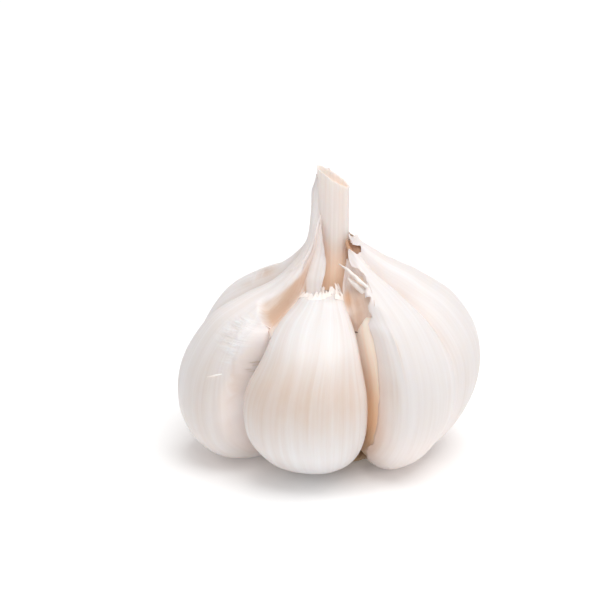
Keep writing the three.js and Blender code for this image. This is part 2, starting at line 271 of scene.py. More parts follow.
def loft(rings: Array) -> tuple[Array, Faces]:
    """Closes a tube of rings whose first and last ring shrink to a pole.

    Args:
        rings: points by ring and side.

    Returns:
        The points with one at each pole, and the faces, pointing out where the rings run up
        anticlockwise.
    """
    count, sides = rings.shape[:2]
    points = np.vstack([rings[0].mean(0), rings.reshape(-1, 3), rings[-1].mean(0)])
    last = len(points) - 1
    faces: Faces = []
    for s in range(sides):
        n = (s + 1) % sides
        faces.append((0, 1 + n, 1 + s))
        for k in range(count - 1):
            row = 1 + k * sides
            faces.append((row + s, row + n, row + sides + n, row + sides + s))
        faces.append((last, last - sides + s, last - sides + n))
    return points, faces


def ends(values: Array) -> Array:
    """Values of a loft's points, from those of its rings."""
    flat = values.reshape(-1, *values.shape[2:])
    return np.concatenate([flat[:1], flat, flat[-1:]])


# ---- Form of the bulb ----
@dataclass(frozen=True)
class Sector:
    """A clove's place in the ring and its size beside the standard outline."""

    name: str
    start: float
    sway: float
    reach: float
    stretch: float
    drop: float = 0.0
    lift: float = 0.0
    lean: float = 0.0


class Curve:
    """A smooth curve through rows of numbers, one station apart."""

    def __init__(self, rows: tuple[tuple[float, ...], ...]) -> None:
        """Keeps the rows, with one more beyond each end.

        Args:
            rows: the rows, from the first to the last.
        """
        p = np.array(rows, float)
        self.top = len(p) - 1
        self.rows = np.vstack([2 * p[0] - p[1], p, 2 * p[-1] - p[-2]])

    def terms(self, station: Array) -> tuple[Array, ...]:
        """The place within a stretch, and the terms of the stretch's cubic.

        Args:
            station: the places to look up.

        Returns:
            The place from 0 to 1, then the terms from the lowest power to the highest.
        """
        s = np.clip(station, 0, self.top)
        k = np.minimum(np.floor(s).astype(int), self.top - 1)
        a, b, c, d = (self.rows[k + n] for n in range(4))
        m, n = (c - a) / 2, (d - b) / 2
        return (s - k)[..., None], b, m, 3 * (c - b) - 2 * m - n, 2 * (b - c) + m + n

    def at(self, station: Array) -> Array:
        """The curve's point at each station."""
        t, b, m, e, f = self.terms(station)
        return b + m * t + e * t**2 + f * t**3

    def ahead(self, station: Array) -> Array:
        """The curve's direction at each station."""
        t, _, m, e, f = self.terms(station)
        return unit(m + 2 * e * t + 3 * f * t**2)


@dataclass
class BulbForm:
    """The shape that the cloves and the skin share."""

    gap: float = 0.3
    reach: float = 30.0
    tip: float = 10.0
    undercut: float = 2.2
    covered_tip: float = 0.96
    round_outside: float = 2.25
    round_inside: float = 2.8
    stem_lean: float = 0.35
    bare: int = 0
    belly_from: float = 13.4
    neck: tuple[float, float] = (33.0, 46.0)
    shoulder: float = 30.0
    skirt: float = 12.0
    lean_at: tuple[float, float] = (6.9, 0.85)
    slope_step: float = 0.02
    outline_rows: Pairs = (
        (9.8, 3.4), (13.4, 2.2), (17.5, 0.3), (23.5, 2.6), (28.3, 8.4), (30.0, 15.0), (28.8, 22.0),
        (24.2, 28.6), (17.5, 32.8), (11.5, 35.6), (7.4, 39.2), (5.1, 43.0), (4.35, 47.5),
        (4.2, 52.0), (4.2, 57.0),
    )
    inner_rows: Pairs = (
        (9.8, 3.4), (7.0, 3.4), (5.3, 4.6), (5.0, 8.0), (5.0, 12.0), (5.0, 16.0), (5.0, 20.0),
        (5.1, 24.5), (5.4, 29.0), (6.0, 33.4), (6.9, 37.2),
    )
    sectors: tuple[Sector, ...] = (
        Sector("clove_front", -46, -2, 30.4, 0.94, 0, 0.9, 5),
        Sector("clove_right", 22, -2, 30.2, 1.1, 0, 0, -1.5),
        Sector("clove_right_side", 61, -3, 29.8, 1.12, -1.8, 0.2),
        Sector("clove_back_right", 111, 2, 29.0, 1.08, -0.9, 0.1),
        Sector("clove_back", 158, -2, 29.8, 1.0),
        Sector("clove_back_left", 208, 3, 29.2, 1.03, 1.2, 0.5),
        Sector("clove_left", 259, 2, 31.0, 1.0, 2.6, 0.6),
    )

    def __post_init__(self) -> None:
        """Makes the curves and the tables of the sectors' values."""
        self.count = len(self.sectors)
        self.right, self.left = self.bare + 1, self.count - 1
        self.curve = Curve(self.outline_rows)
        self.inner = Curve(self.inner_rows)
        self.start = np.array([s.start for s in self.sectors], float)
        self.sway = np.array([s.sway for s in self.sectors], float)
        self.lean = np.array([s.lean for s in self.sectors], float)
        self.sizes = np.array([(s.reach, s.stretch, s.drop, s.lift) for s in self.sectors], float)

    def around(self, angle: Array, radius: Array, height: Array) -> Array:
        """Points at these angles, radii and heights."""
        a = np.radians(angle)
        return together(radius * np.sin(a), -radius * np.cos(a), height)

    def outline(self, station: Array, depth: Array, size: Array) -> tuple[Array, Array]:
        """The outline moved in by a depth, at a clove's reach, stretch, drop and lift.

        Args:
            station: stations up it.
            depth: how far in, in millimetres.
            size: reach, stretch, drop and lift at each place.

        Returns:
            The radius and the height at each place.
        """
        reach, stretch, drop, lift = apart(size)
        r, z = apart(self.curve.at(station))
        step = self.slope_step
        within = np.clip(station, step, self.curve.top - step)
        dr, dz = apart(self.curve.at(within + step) - self.curve.at(within - step))
        length = np.hypot(dr, dz)
        r = r - depth * dz / length
        z = z + depth * dr / length
        belly = np.clip((r - self.belly_from) / (self.reach - self.belly_from), 0, 1)
        tall = z * (1 + (stretch - 1) * (1 - smoothstep(z, *self.neck)))
        tall = tall - drop * np.sin(np.pi * np.clip(z / self.shoulder, 0, 1) ** 0.6)
        tall = tall + lift * (1 - smoothstep(z, 0, self.skirt))
        return r + (reach - self.reach) * belly, tall

    def crease(self, k: Array | int, station: Array) -> Array:
        """The angle of the crease before clove k.

        Args:
            k: the number of the clove, or of the one at each place.
            station: stations up the crease.

        Returns:
            The angle, which goes on past 360 degrees with the turns in k.
        """
        k = np.asarray(k)
        turns, n = k // self.count, k % self.count
        sway = self.sway[n] * np.sin(np.pi * np.clip(station, 0, self.tip) / self.tip)
        return self.start[n] + turns * 360 + sway + self.lean[n] * bell(station, *self.lean_at)

    def pressed(self, k: Array, side: Array) -> Array:
        """Whether a place is on the side of a covered clove that leans on the bare one."""
        return ((k == self.left) & (side > 0)) | ((k == self.right) & (side < 0))

    def fullness(self, k: Array | int, station: Array, side: Array) -> Array:
        """How much of its sector clove k fills: the bare one has broader shoulders.

        Args:
            k: the number of the clove, or of the one at each place.
            station: stations up it.
            side: below zero on its left side, above zero on its right.

        Returns:
            The share, from 0 to 1.
        """
        k = np.asarray(k)
        t = np.clip(station / self.tip, 0, 1)
        bare = np.maximum(np.sin(np.pi * t**1.2), 0) ** 0.13
        covered = np.maximum(np.sin(np.pi * t**0.85), 0) ** 0.3 * (1 - 0.2 * bell(station, 8.2, 1.1))
        covered = np.minimum(covered + 0.2 * self.pressed(k, side) * bell(station, 7.3, 1.4), 1)
        return np.where(k == self.bare, bare, covered)

    def power(self, k: Array | int, station: Array, side: Array) -> Array:
        """The superellipse power of a clove's outer side: 2 is round, more is boxier.

        Args:
            k: the number of the clove, or of the one at each place.
            station: stations up it.
            side: below zero on its left side, above zero on its right.

        Returns:
            The power at each place.
        """
        k = np.asarray(k)
        full = 0.6 * (k == self.bare) * smoothstep(station, 6, 8.5)
        press = np.where(k == self.right, 0.7, 1.7) * self.pressed(k, side)
        return self.round_outside + full + press * bell(station, 5.5, 3)

    def section(self, k: Array | int, station: Array, turn: Array, depth: Array, spread: Array) -> Array:
        """Points on a clove's section.

        Args:
            k: the clove.
            station: the place along it.
            turn: the angle round the section, in radians from its outer middle.
            depth: how far in from the outline.
            spread: how far out sideways.

        Returns:
            The points.
        """
        k = np.asarray(k)
        c, s = np.cos(turn), np.sin(turn)
        rise = self.undercut * (1 - smoothstep(station, 1.5, 4.5)) * s * s
        at = np.minimum(station, self.tip - 0.4)
        ro, zo = self.outline(at, depth + rise, self.sizes[k])
        ri, zi = apart(self.inner.at(station))
        tall = np.where(k == self.bare, self.sizes[k][..., 1], self.covered_tip)
        zi = zi * lerp(1, tall, smoothstep(zi, 6, 30))
        close = smoothstep(station, self.tip - 1, self.tip)
        n = np.where(c > 0, self.power(k, station, s), self.round_inside)
        share = 0.5 + 0.5 * np.sign(c) * np.abs(c) ** (2 / n)
        r = lerp(ri, lerp(ro, ri, close), share)
        z = lerp(zi, lerp(zo, zi, close), share)
        low, high = self.crease(k, station), self.crease(k + 1, station)
        half = (high - low) / 2 - np.degrees(np.arcsin((self.gap / 2 - spread) / r))
        side = np.sign(s) * np.abs(s) ** (2 / n)
        return self.around((low + high) / 2 + half * self.fullness(k, station, s) * side, r, z)

    def over(self, angle: Array, station: Array) -> tuple[Array, Array]:
        """The clove under each place, and how far it is from that clove's middle, from -1 to 1.

        Args:
            angle: angles round the bulb.
            station: stations up it.

        Returns:
            The clove's number and the distance, which is above zero on its right.
        """
        k = sum((angle >= self.crease(j, station)).astype(int) for j in range(1, self.count + 2))
        low, high = self.crease(k, station), self.crease(k + 1, station)
        return k % self.count, 2 * (angle - low) / (high - low) - 1


FORM = BulbForm()


# ---- Finishes ----
class Wiring:
    """Adds nodes to a tree and wires them up."""

    def __init__(self, tree: bpy.types.NodeTree) -> None:
        """Takes the tree to write in."""
        self.tree = tree

    def node(self, kind: str, values: dict | None = None, **settings: object) -> bpy.types.Node:
        """Adds a node.

        Args:
            kind: the node's type.
            values: numbers or sockets for its inputs, by name or index.
            **settings: the node's own properties.

        Returns:
            The node.
        """
        made = self.tree.nodes.new(kind)
        for key, value in settings.items():
            setattr(made, key, value)
        self.feed(made, values or {})
        return made

    def feed(self, node: bpy.types.Node, values: dict) -> None:
        """Sets a node's inputs to numbers or sockets.

        Args:
            node: the node to set.
            values: the inputs, by name or index.
        """
        for key, value in values.items():
            if isinstance(value, bpy.types.NodeSocket):
                self.tree.links.new(value, node.inputs[key])
            else:
                node.inputs[key].default_value = value

    def carried(self, key: str, output: str = "Fac") -> bpy.types.NodeSocket:
        """A value that the mesh carries on its points."""
        return self.node("ShaderNodeAttribute", attribute_name=key).outputs[output]

    def blend(self, share: object, first: object, second: object) -> bpy.types.NodeSocket:
        """Mixes two colours by a share."""
        mix = self.node("ShaderNodeMix", {0: share, 6: first, 7: second}, data_type="RGBA")
        return mix.outputs[2]

    def ramp(self, value: object, low: float, high: float, start: float, end: float) -> bpy.types.NodeSocket:
        """Maps a value from one range to another, held at its ends."""
        values = {"Value": value, "From Min": low, "From Max": high, "To Min": start, "To Max": end}
        return self.node("ShaderNodeMapRange", values).outputs[0]

    def vectors(self, kind: str, first: object, second: object) -> bpy.types.NodeSocket:
        """The result of a vector operation on two values."""
        return self.node("ShaderNodeVectorMath", {0: first, 1: second}, operation=kind).outputs[0]

    def stray(self, low: object, high: object, seed: object) -> bpy.types.NodeSocket:
        """A random vector for each copy, between two others."""
        values = {0: low, 1: high, "Seed": seed}
        return self.node("FunctionNodeRandomValue", values, data_type="FLOAT_VECTOR").outputs[0]

    def sizes(self, low: float, high: float, seed: object) -> bpy.types.NodeSocket:
        """A random size for each copy, between two others."""
        values = {2: low, 3: high, "Seed": seed}
        return self.node("FunctionNodeRandomValue", values, data_type="FLOAT").outputs[1]

    def maths(self, kind: str, first: object, second: object) -> bpy.types.NodeSocket:
        """The result of an arithmetic operation on two values."""
        return self.node("ShaderNodeMath", {0: first, 1: second}, operation=kind).outputs[0]

    def times(self, first: object, second: object) -> bpy.types.NodeSocket:
        """One value times another."""
        return self.maths("MULTIPLY", first, second)

    def streaks(
        self, flow: bpy.types.NodeSocket, scale: tuple[float, float], detail: float
    ) -> bpy.types.NodeSocket:
        """Noise drawn out along the flow.

        Args:
            flow: where each place lies along the veins.
            scale: streaks a millimetre, across and along.
            detail: how many finer layers the noise has.

        Returns:
            The noise, from 0 to 1.
        """
        placed = self.node("ShaderNodeMapping", {"Vector": flow, "Scale": (*scale, 1.0)})
        values = {"Vector": placed.outputs[0], "Scale": 1.0, "Detail": detail, "Roughness": 0.62}
        return self.node("ShaderNodeTexNoise", values).outputs[0]


# Painted highlight laid along the crinkle lines.
CRINKLE_HIGHLIGHT = tint(255, 251, 249)
# Colour of the painted glow where painted_light is set.
DAYLIGHT = (0.84, 0.94, 1.0, 1.0)


def blank(name: str) -> tuple[bpy.types.Material, Wiring, bpy.types.Node]:
    """A new material, the wiring of its tree and its shader. Its light isn't sampled as a lamp's.

    Args:
        name: the material's name.

    Returns:
        The material, the wiring and the shader.
    """
    made = bpy.data.materials.new(name)
    made.use_nodes = True
    made.cycles.emission_sampling = "NONE"
    return made, Wiring(made.node_tree), made.node_tree.nodes["Principled BSDF"]


@dataclass(frozen=True)
class VeinedFinish:
    """Dry plant skin with veins along it, warmer where it is torn, with painted shade in its hollows and
    creases, a painted highlight along its crinkles and a painted glow that lifts its shade.
    """

    name: str
    pale: Colour
    vein: Colour
    warm: Colour
    deep: Colour
    vein_across: float = 1.3
    vein_along: float = 0.045
    contrast: float = 0.5
    mottle: float = 0.5
    roughness: float = 0.45
    gloss: float = 0.5
    relief: float = 0.05
    glow: float = 0.25
    glow_depth: float = 2.0
    # ember: the colour of the painted glow that the deep share drives.
    ember: Colour = tint(238, 192, 154)
    # painted_glow: emission strength of a painted glow, by the deep share, that lifts the shade in creases.
    painted_glow: float = 0.0

    def material(self) -> bpy.types.Material:
        """Builds the material.

        Returns:
            The material, which reads the flow and the shares that a shell carries.
        """
        made, w, shader = blank(self.name)
        flow = w.carried("flow", "Vector")
        warm, deep, creased, painted_light = (w.carried(key) for key in SHARES)
        fine = w.streaks(flow, (self.vein_across, self.vein_along), 4.0)
        broad = w.streaks(flow, (self.vein_across * 0.22, self.vein_along * 0.6), 3.0)
        cloud = w.streaks(flow, (0.16, 0.12), 5.0)
        lines = w.streaks(flow, (0.28, 1.7), 4.0)
        patchy = w.maths("ADD", w.ramp(cloud, 0.3, 0.7, 0.72, 1.12), w.ramp(fine, 0.35, 0.65, -0.12, 0.16))
        colour = self.pale
        # Colour layers: veins, mottle, warm and deep (both partly painted shade) and a painted highlight
        # along the crinkles.
        for share, over in (
            (w.ramp(fine, 0.42, 0.68, 0.0, self.contrast), self.vein),
            (w.times(w.ramp(broad, 0.42, 0.66, 0.0, 1.0), self.mottle), self.vein),
            (w.times(warm, patchy), self.warm),
            (w.times(deep, w.ramp(cloud, 0.3, 0.7, 0.85, 1.05)), self.deep),
            (w.times(creased, w.ramp(lines, 0.5, 0.62, 0.0, 0.6)), CRINKLE_HIGHLIGHT),
        ):
            colour = w.blend(share, colour, over)
        height = w.maths("ADD", w.times(fine, 0.6), w.times(broad, 1.2))
        bump = w.node("ShaderNodeBump", {"Strength": 0.6, "Distance": self.relief * MM, "Height": height})
        crinkle = {"Strength": 0.8, "Distance": 0.6 * MM, "Height": w.times(creased, lines)}
        bump = w.node("ShaderNodeBump", {**crinkle, "Normal": bump.outputs[0]})
        w.feed(shader, {
            "Base Color": colour,
            "Roughness": w.ramp(broad, 0.3, 0.7, self.roughness - 0.07, self.roughness + 0.09),
            "Normal": bump.outputs[0],
            "Specular IOR Level": self.gloss,
            "Subsurface Weight": self.glow,
            "Subsurface Radius": (1.0, 0.62, 0.42),
            "Subsurface Scale": self.glow_depth * MM,
        })
        # Painted glow: emission by the deep share and by painted_light, lifting shade where no lamp reaches.
        if self.painted_glow:
            through = w.times(deep, w.ramp(fine, 0.3, 0.7, self.painted_glow, self.painted_glow * 0.7))
            w.feed(shader, {
                "Emission Color": w.blend(painted_light, self.ember, DAYLIGHT),
                "Emission Strength": w.maths("ADD", through, w.times(painted_light, 0.19)),
            })
        return made


@dataclass(frozen=True)
class FibreFinish:
    """Dry fibres and flakes, with a colour that wanders from one to the next."""

    name: str
    light: Colour
    dark: Colour
    roughness: float = 0.8
    # painted_glow: emission strength of a painted glow that brightens the fibres.
    painted_glow: float = 0.0

    def material(self) -> bpy.types.Material:
        """Builds the material.

        Returns:
            The material, which reads Object coordinates.
        """
        made, w, shader = blank(self.name)
        place = w.node("ShaderNodeTexCoord").outputs["Object"]
        coarse, fine = (
            w.node("ShaderNodeTexNoise", {"Vector": place, "Scale": scale, "Detail": detail}).outputs[0]
            for scale, detail in ((420.0, 4.0), (2600.0, 3.0))
        )
        bump = w.node("ShaderNodeBump", {"Strength": 0.7, "Distance": 0.08 * MM, "Height": fine})
        w.feed(shader, {
            "Base Color": w.blend(w.ramp(coarse, 0.36, 0.66, 0.0, 1.0), self.light, self.dark),
            "Normal": bump.outputs[0],
            "Roughness": w.ramp(fine, 0.3, 0.7, self.roughness - 0.1, self.roughness + 0.1),
            "Emission Color": self.light,
            "Emission Strength": self.painted_glow,
        })
        return made


BARE_CLOVE = VeinedFinish(
    "bare_clove_skin",
    pale=tint(237, 235, 235),
    vein=tint(221, 207, 200),
    warm=tint(215, 184, 158),
    deep=tint(176, 122, 86),
    vein_across=0.8,
    vein_along=0.028,
    contrast=0.4,
    mottle=0.4,
    roughness=0.4,
    relief=0.1,
)
# Covered cloves; the strong painted_glow lifts the shade on the flank that shows in the opening.
COVERED_CLOVE = VeinedFinish(
    "covered_clove_skin",
    pale=tint(250, 238, 226),
    vein=tint(240, 218, 196),
    warm=tint(226, 176, 128),
    deep=tint(232, 180, 136),
    roughness=0.48,
    glow=0.6,
    glow_depth=3.0,
    ember=tint(234, 190, 144),
    painted_glow=0.85,
)
# Outer skin; its painted_glow lifts the shade in its creases through the deep share.
WRAPPER = VeinedFinish(
    "wrapper_skin",
    pale=tint(250, 239, 235),
    vein=tint(236, 220, 212),
    warm=tint(218, 183, 160),
    deep=tint(186, 134, 98),
    vein_across=1.1,
    vein_along=0.035,
    contrast=0.42,
    mottle=0.35,
    roughness=0.5,
    gloss=0.4,
    relief=0.07,
    glow=0.3,
    glow_depth=1.2,
    painted_glow=0.35,
)
INNER_SKIN = replace(WRAPPER, name="inner_skin", painted_glow=0.0)
# Stem skin; its painted_glow makes the shaded stem base glow through the deep share.
STALK = VeinedFinish(
    "stem_skin",
    pale=tint(243, 233, 228),
    vein=tint(228, 212, 202),
    warm=tint(248, 218, 194),
    deep=tint(243, 213, 189),
    vein_across=1.2,
    vein_along=0.025,
    contrast=0.4,
    mottle=0.25,
    roughness=0.55,
    relief=0.05,
    ember=tint(240, 205, 176),
    painted_glow=0.4,
)
ROOT_FIBRE = FibreFinish("root_fibre", light=tint(226, 206, 178), dark=tint(176, 146, 110), roughness=0.85)
# Shreds; their small painted_glow brightens the crown scales and rolls, and makes the nick a painted
# highlight.
SHRED = FibreFinish(
    "papery_shred", light=tint(254, 250, 247), dark=tint(246, 234, 226), roughness=0.6, painted_glow=0.04
)
ROOT_CRUST = VeinedFinish(
    "root_crust",
    pale=tint(232, 214, 190),
    vein=tint(206, 180, 146),
    warm=tint(188, 154, 114),
    deep=tint(120, 84, 54),
    vein_across=0.9,
    vein_along=0.9,
    contrast=0.7,
    mottle=0.6,
    roughness=0.85,
    relief=0.3,
    glow=0.05,
)


def settle(piece: bpy.types.Object, slot: Slot, *nodes: str) -> None:
    """Lets a piece ride on the bulb and stand for CAD nodes.

    Args:
        piece: the finished piece.
        slot: not used.
        *nodes: the CAD nodes that it stands for, if any.
    """
    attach(piece, "root")
    if nodes:
        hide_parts(*nodes)
    LOG.info("%s: %d faces", piece.name, len(piece.data.polygons))


# ---- Cloves ----
@dataclass
class CloveRing:
    """The seven cloves, each a closed body from its foot on the plate to its tip."""

    form: BulbForm = field(default_factory=lambda: FORM)
    fine: tuple[int, int] = (200, 190)
    plain: tuple[int, int] = (72, 60)
    cover: float = 0.5
    flute: float = 0.1
    seed: int = 31

    def stations(self, count: int) -> Array:
        """Stations for the rings, closer at both ends.

        Args:
            count: how many rings there are.

        Returns:
            Their stations.
        """
        t = np.linspace(0, 1, count + 2)[1:-1]
        return self.form.tip * lerp(t, (1 - np.cos(np.pi * t)) / 2, 0.75)

    def shell(self, k: int, rings: int, sides: int) -> Shell:
        """One clove's mesh with its values.

        Args:
            k: the clove.
            rings: rings along it.
            sides: points in a ring.

        Returns:
            The closed shell.
        """
        form = self.form
        bare = k == form.bare
        depth = 0.0 if bare else self.cover
        spread = -self.cover if k in (form.left, form.right) else 0.0
        station = self.stations(rings)[:, None]
        turn = np.linspace(-np.pi, np.pi, sides, endpoint=False)[None, :]
        noise = Waver(self.seed + k)
        flutes = noise.rough(turn * 3.2, station * 0.12 + 5, 2) + 0.5 * noise.at(turn * 9, station * 0.2)
        waist = np.sin(np.pi * np.clip(station / form.tip, 0, 1))
        relief = self.flute * flutes * waist * (1 if bare else 0.6)
        flow = together(turn * 12.5, station * 4.6, 20.0 * k)
        values = self.bare_values(turn, station, noise) if bare else self.covered_values(k, turn, station)
        points = form.section(k, station, turn, depth - relief, spread)
        return Shell.lofted(points, flip=True, flow=flow, **values)

    def bare_values(self, turn: Array, station: Array, noise: Waver) -> dict[str, Array]:
        """The values on the bare clove: warm over its belly, partly as painted shade below its lit top, at
        its sides and at its stained tip.

        Args:
            turn: angles round the section, in radians.
            station: stations up it.
            noise: the clove's own noise.

        Returns:
            The shares, by name.
        """
        across, outward = np.sin(turn), np.cos(turn)
        # The belly band is partly the clove's beige tone and partly painted shade below its lit top.
        belly = bell(station, 5.9, 1.1) * np.clip(outward, 0, 1)
        crown = smoothstep(station, 8.9, 9.8)
        foot = 1 - smoothstep(station, 1.2, 3.0)
        edge = smoothstep(np.abs(across), 0.86, 1.0) * (0.35 + 0.25 * np.sign(across))
        stain = 0.6 * bell(turn, -0.25, 0.12) + 0.5 * bell(turn, 0.95, 0.12)
        warm = 0.55 * belly + (0.2 + stain) * crown * (0.7 + noise.at(turn * 4, station)) + 0.1 * foot + edge
        deep = 0.45 * (1 - smoothstep(station, 0.4, 1.6)) + 0.3 * (outward < -0.2)
        return {"warm": warm, "deep": deep}

    def covered_values(self, k: int, turn: Array, station: Array) -> dict[str, Array]:
        """The values on a covered clove: the flank that shows in the opening is warmer and takes a painted
        glow that lifts its shade.

        Args:
            k: the clove.
            turn: angles round the section, in radians.
            station: stations up it.

        Returns:
            The shares, by name.
        """
        low = 1 - smoothstep(station, 2.5, 6.0)
        flank = smoothstep(np.abs(np.sin(turn)), 0.55, 1.0)
        shown = flank * (np.cos(turn) > -0.2) * (k == self.form.right)
        warm = 0.75 * flank * (0.1 + 0.9 * low) + 0.3 * smoothstep(station, 7.6, 9.2)
        # deep and painted_light here drive a painted glow on the shaded flank.
        deep = shown * (0.16 + 0.44 * low) * smoothstep(station, 3.0, 5.1)
        return {"warm": warm, "deep": deep, "painted_light": 0.7 * shown * smoothstep(station, 4.5, 7.0)}

    def build(self) -> None:
        """Makes all the cloves."""
        bare, covered = BARE_CLOVE.material(), COVERED_CLOVE.material()
        for k, sector in enumerate(self.form.sectors):
            shown = k in (self.form.left, self.form.bare, self.form.right)
            rings, sides = self.fine if shown else self.plain
            finish = bare if k == self.form.bare else covered
            piece = self.shell(k, rings, sides).piece(f"{sector.name}_skin", finish)
            settle(piece, Slot.CLOVE, sector.name)


# ---- Outer skin ----
def spaced(pairs: Pairs) -> Array:
    """Numbers from the first to the last of (number, step) pairs.

    Args:
        pairs: where each run begins and how far apart its numbers are.

    Returns:
        The numbers.
    """
    runs = [
        np.linspace(a, b, round((b - a) / step), endpoint=False)
        for (a, step), (b, _) in zip(pairs, pairs[1:])
    ]
    return np.concatenate([*runs, [pairs[-1][0]]])


def trimmed(us: Array, vs: Array, value: Array) -> tuple[Array, Faces]:
    """Cuts a torn outline out of a grid.

    Args:
        us: the columns' angles.
        vs: the rows' stations.
        value: above zero at the grid places that are kept.

    Returns:
        The kept places as (angle, station), and the faces over them.
    """
    rows = len(vs)
    inside = value > 0
    flat = value.ravel()
    places = list(map(tuple, together(us[:, None], vs).reshape(-1, 2).tolist()))
    cuts: dict[tuple[int, int], int] = {}
    nearest = 0.08

    def between(a: int, b: int) -> int:
        """The point where the torn edge crosses a grid edge, a little away from both its ends.

        Args:
            a: the grid place at one end.
            b: the grid place at the other.

        Returns:
            The point's number, the same for the two cells that share the edge.
        """
        low, high = min(a, b), max(a, b)
        if (low, high) not in cuts:
            t = float(np.clip(flat[low] / (flat[low] - flat[high]), nearest, 1 - nearest))
            (u0, v0), (u1, v1) = places[low], places[high]
            cuts[low, high] = len(places)
            places.append((u0 + (u1 - u0) * t, v0 + (v1 - v0) * t))
        return cuts[low, high]

    faces: Faces = []
    corners = inside[:-1, :-1].astype(int) + inside[1:, :-1] + inside[1:, 1:] + inside[:-1, 1:]
    for i, j in zip(*(index.tolist() for index in np.nonzero(corners))):
        ring = [i * rows + j, (i + 1) * rows + j, (i + 1) * rows + j + 1, i * rows + j + 1]
        face = []
        for here, after in zip(ring, ring[1:] + ring[:1]):
            if flat[here] > 0:
                face.append(here)
            if (flat[here] > 0) != (flat[after] > 0):
                face.append(between(here, after))
        faces.append(tuple(face))
    used = sorted({p for f in faces for p in f})
    order = {p: n for n, p in enumerate(used)}
    return np.array([places[p] for p in used]), [tuple(order[p] for p in f) for f in faces]


@dataclass(frozen=True)
class Patch:
    """A soft spot on the skin: its strength, then its middle and width round the bulb and up it."""

    strength: float
    angle: float
    wide: float
    station: float
    tall: float

    def at(self, angle: Array, station: Array) -> Array:
        """The spot's strength at each place."""
        return self.strength * bell(angle, self.angle, self.wide) * bell(station, self.station, self.tall)


def patched(patches: tuple[Patch, ...], angle: Array, station: Array) -> Array:
    """All the spots' strength at each place."""
    return sum(patch.at(angle, station) for patch in patches)


